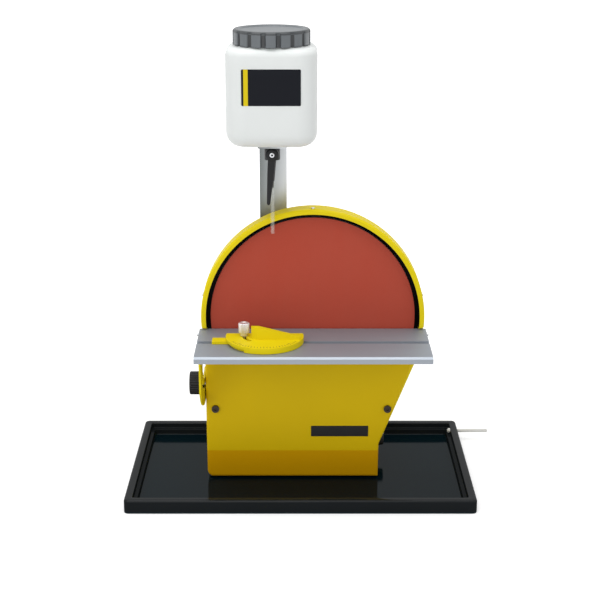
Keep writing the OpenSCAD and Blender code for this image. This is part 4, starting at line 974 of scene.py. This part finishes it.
class SANDER_OT_tap_lever(bpy.types.Operator):
    """Makes the tap lever: a round-edged blade that narrows to its tip, a hub and its screw"""
    bl_idname = "sander.tap_lever"
    bl_label = "Tap lever"

    def execute(self, context):
        low, high = middle("tap_lever")[:2]
        hub = JOINT_AT["tap_turn"]
        front, rear = low[1], low[1] + 4.5 * MM
        hang = math.radians(4.4)
        along = np.array([-math.sin(hang), 0, -math.cos(hang)])
        across = np.array([math.cos(hang), 0, -math.sin(hang)])
        # the blade's rings, by their distance from the hub, shrink along the tip as an ellipse
        first, start, straight, tip_long, edge = mm(3.0, 8.0, 57.0, 3.0, 1.2)
        reach = np.concatenate([[first], np.linspace(start, straight, 12),
                                straight + tip_long * np.sin(np.linspace(0, QUARTER, 6)[1:])])
        past = ramp(reach, straight, tip_long + 0.02 * MM)
        tip = np.sqrt(np.clip(1 - past ** 2, 0.002, 1))
        width = np.interp(reach, mm(0, 20, 57), mm(4.6, 4.2, 2.2))
        thick = np.interp(reach, mm(0, 10, 60), mm(2.1, 1.9, 1.4))
        ring = box_ring(width * tip, thick * (0.5 + 0.5 * tip),
                        edge * (0.15 + 0.85 * tip) * np.minimum(1, tip * 1.6), 6)
        grid = hub + along * reach[:, None, None] + ring[..., :1] * across
        grid[..., 1] = (front + rear) / 2 + ring[..., 1]

        hub_r, stem = mm(7.9, 4.0)
        side = rounded(
            [[0, front - 0.4 * MM], [5.6 * MM, front - 0.4 * MM], [hub_r, front + 1.4 * MM],
             [hub_r, rear], [stem, rear], [stem, high[1]], [0, high[1]]],
            mm(0, 1.2, 1.0, 0.3, 0.1, 0.3, 0), 4)
        stand_in("tap_lever", *joined(rings(grid), revolve(side, hub, "Y", 64)), sharp=45)
        head = mm([0, -0.3], [1.2, -0.3], [1.2, -1.3], [2.7, -1.0], [2.9, 0], [0, 0])
        screw = rounded(head + [0, front], mm(0, 0.1, 0.3, 0.3, 0.1, 0), 3)
        put("lever_screw", *revolve(screw, hub, "Y", 48), "bright_steel", "lever")
        return {"FINISHED"}


class SANDER_OT_pipes(bpy.types.Operator):
    """Makes the drip pipe and the drain spout: turned tubes with rounded ends"""
    bl_idname = "sander.pipes"
    bl_label = "Pipes"

    def execute(self, context):
        low, high, mid = middle("drip_pipe")
        outer, bore = mm(2.5, 1.75)
        tube = rounded([[outer, low[2]], [outer, high[2]], [bore, high[2]], [bore, low[2]]],
                       0.3 * MM, 3, closed=True)
        stand_in("drip_pipe", *revolve(tube, mid, "Z", 48, closed=True))

        low, high, mid = middle("drain_spout")
        start, end, shoulder = low[0], high[0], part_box("tray")[1][0]
        outer, stem, bore = mm(2.2, 2.0, 1.4)
        tube = rounded([[bore, start], [stem, start], [stem, shoulder], [outer, shoulder],
                        [outer, end], [bore, end]], mm(0.2, 0.2, 0, 0.1, 0.3, 0.3), 3, closed=True)
        stand_in("drain_spout", *revolve(tube, mid, "X", 48, closed=True))
        return {"FINISHED"}


def seen_ray(tree):
    """1 for a ray from the camera, or sent on by a glossy or clear surface, and otherwise 0."""
    path = tree.nodes.new("ShaderNodeLightPath")
    seen = Socket(tree, path.outputs["Is Camera Ray"])
    for name in ("Is Glossy Ray", "Is Transmission Ray"):
        seen = seen.join("MAXIMUM", seen, Socket(tree, path.outputs[name]))
    return seen


class SANDER_OT_stage(bpy.types.Operator):
    """Sets the camera, the pale floor and the lights"""
    bl_idname = "sander.stage"
    bl_label = "Stage"

    def execute(self, context):
        scene, stage = context.scene, context.scene.sander_stage
        scene.view_settings.view_transform = "Standard"
        self.camera(scene, stage)
        self.room(scene, stage)
        self.floor(scene)
        wide, deep, aim = 1.6, 1.2, np.array([0.0, 0.0, 0.2])
        for name, power, at in (("Top lamp", stage.top_level, (-0.15, -0.25, 1.9)),
                                ("Front lamp", stage.front_level, (-0.7, -1.9, 1.1))):
            light = bpy.data.lights.new(name, "AREA")
            light.energy, light.shape, light.size, light.size_y = power, "RECTANGLE", wide, deep
            lamp = bpy.data.objects.new(name, light)
            lamp.location = at
            x, y, z = np.array(at) - aim
            lamp.rotation_euler = (math.atan2(math.hypot(x, y), z), 0, math.atan2(x, -y))
            scene.collection.objects.link(lamp)
        return {"FINISHED"}

    def camera(self, scene, stage):
        """The camera, which looks along +Y and down."""
        lens = bpy.data.cameras.new("Photo camera")
        lens.lens, lens.sensor_width, lens.clip_end = stage.lens, 36.0, 50.0
        camera = bpy.data.objects.new("Photo camera", lens)
        camera.location = stage.camera_at
        camera.rotation_euler = (QUARTER - stage.camera_pitch, 0, 0)
        scene.collection.objects.link(camera)
        scene.camera = camera

    def room(self, scene, stage):
        """Even white light, which is full white where it is seen."""
        scene.world = bpy.data.worlds.new("Studio")
        scene.world.use_nodes = True
        tree = scene.world.node_tree
        back = tree.nodes["Background"]
        seen = seen_ray(tree)
        feed(tree, back.inputs["Strength"], seen.join("MAXIMUM", seen, stage.world_level))
        feed(tree, back.inputs["Color"], (1, 1, 1))

    def floor(self, scene):
        """A pale sheet that glows more with its distance from the part, to meet the white room."""
        half, drop = 9.0, 0.2 * MM
        mesh = bpy.data.meshes.new("Floor")
        mesh.from_pydata([(-half, -half, -drop), (half, -half, -drop), (-half, half, -drop),
                          (half, half, -drop)], [], [[0, 1, 3, 2]])
        paper = Finish("Paper floor")
        at = paper.node("TexCoord", out="Object")
        away = paper.node("VectorMath", {"operation": "LENGTH"}, {0: at}, out="Value")
        far = paper.node("MapRange", None, {"Value": away, "From Min": 0.3, "From Max": 1.0,
                                            "To Min": 0.36, "To Max": 0.9})
        matt = paper.node("BsdfDiffuse", None, {"Color": (0.86, 0.86, 0.86)})
        shine = seen_ray(paper.tree) * far
        glow = paper.node("Emission", None, {"Color": (1, 1, 1), "Strength": shine})
        paper.end(paper.node("AddShader", None, {0: matt, 1: glow}))
        mesh.materials.append(paper.material)
        ground = bpy.data.objects.new("Floor", mesh)
        scene.collection.objects.link(ground)


class SANDER_PT_panel(bpy.types.Panel):
    """Lists the sander's steps in the sidebar"""
    bl_idname = "SANDER_PT_panel"
    bl_label = "Disc sander"
    bl_space_type = "VIEW_3D"
    bl_region_type = "UI"
    bl_category = "Sander"

    def draw(self, context):
        for step in STEPS:
            self.layout.operator("sander." + step)
        for group in GROUPS:
            values = getattr(context.scene, group)
            for key in values.bl_rna.properties.keys():
                if key not in ("rna_type", "name"):
                    self.layout.prop(values, key)


STEPS = ("finishes", "stage", "castings", "tray", "front_cover", "disc", "knobs", "gauge_scale",
         "water_bottle", "lid", "post", "tap_lever", "pipes")
GROUPS = {"sander_sizes": SanderSizes, "sander_colours": SanderColours,
          "sander_stage": SanderStage}
CLASSES = (*GROUPS.values(), SANDER_OT_finishes, SANDER_OT_stage, SANDER_OT_castings,
           SANDER_OT_tray, SANDER_OT_front_cover, SANDER_OT_disc, SANDER_OT_knobs,
           SANDER_OT_gauge_scale, SANDER_OT_water_bottle, SANDER_OT_lid, SANDER_OT_post,
           SANDER_OT_tap_lever, SANDER_OT_pipes, SANDER_PT_panel)


def register():
    """Registers the classes and gives the scene its groups of values."""
    for item in CLASSES:
        bpy.utils.register_class(item)
    for name, group in GROUPS.items():
        setattr(bpy.types.Scene, name, bpy.props.PointerProperty(type=group))


def unregister():
    """Takes away what register added."""
    for name in GROUPS:
        delattr(bpy.types.Scene, name)
    for item in reversed(CLASSES):
        bpy.utils.unregister_class(item)


def main():
    register()
    for step in STEPS:
        getattr(bpy.ops.sander, step)()


if __name__ == "__main__":
    main()
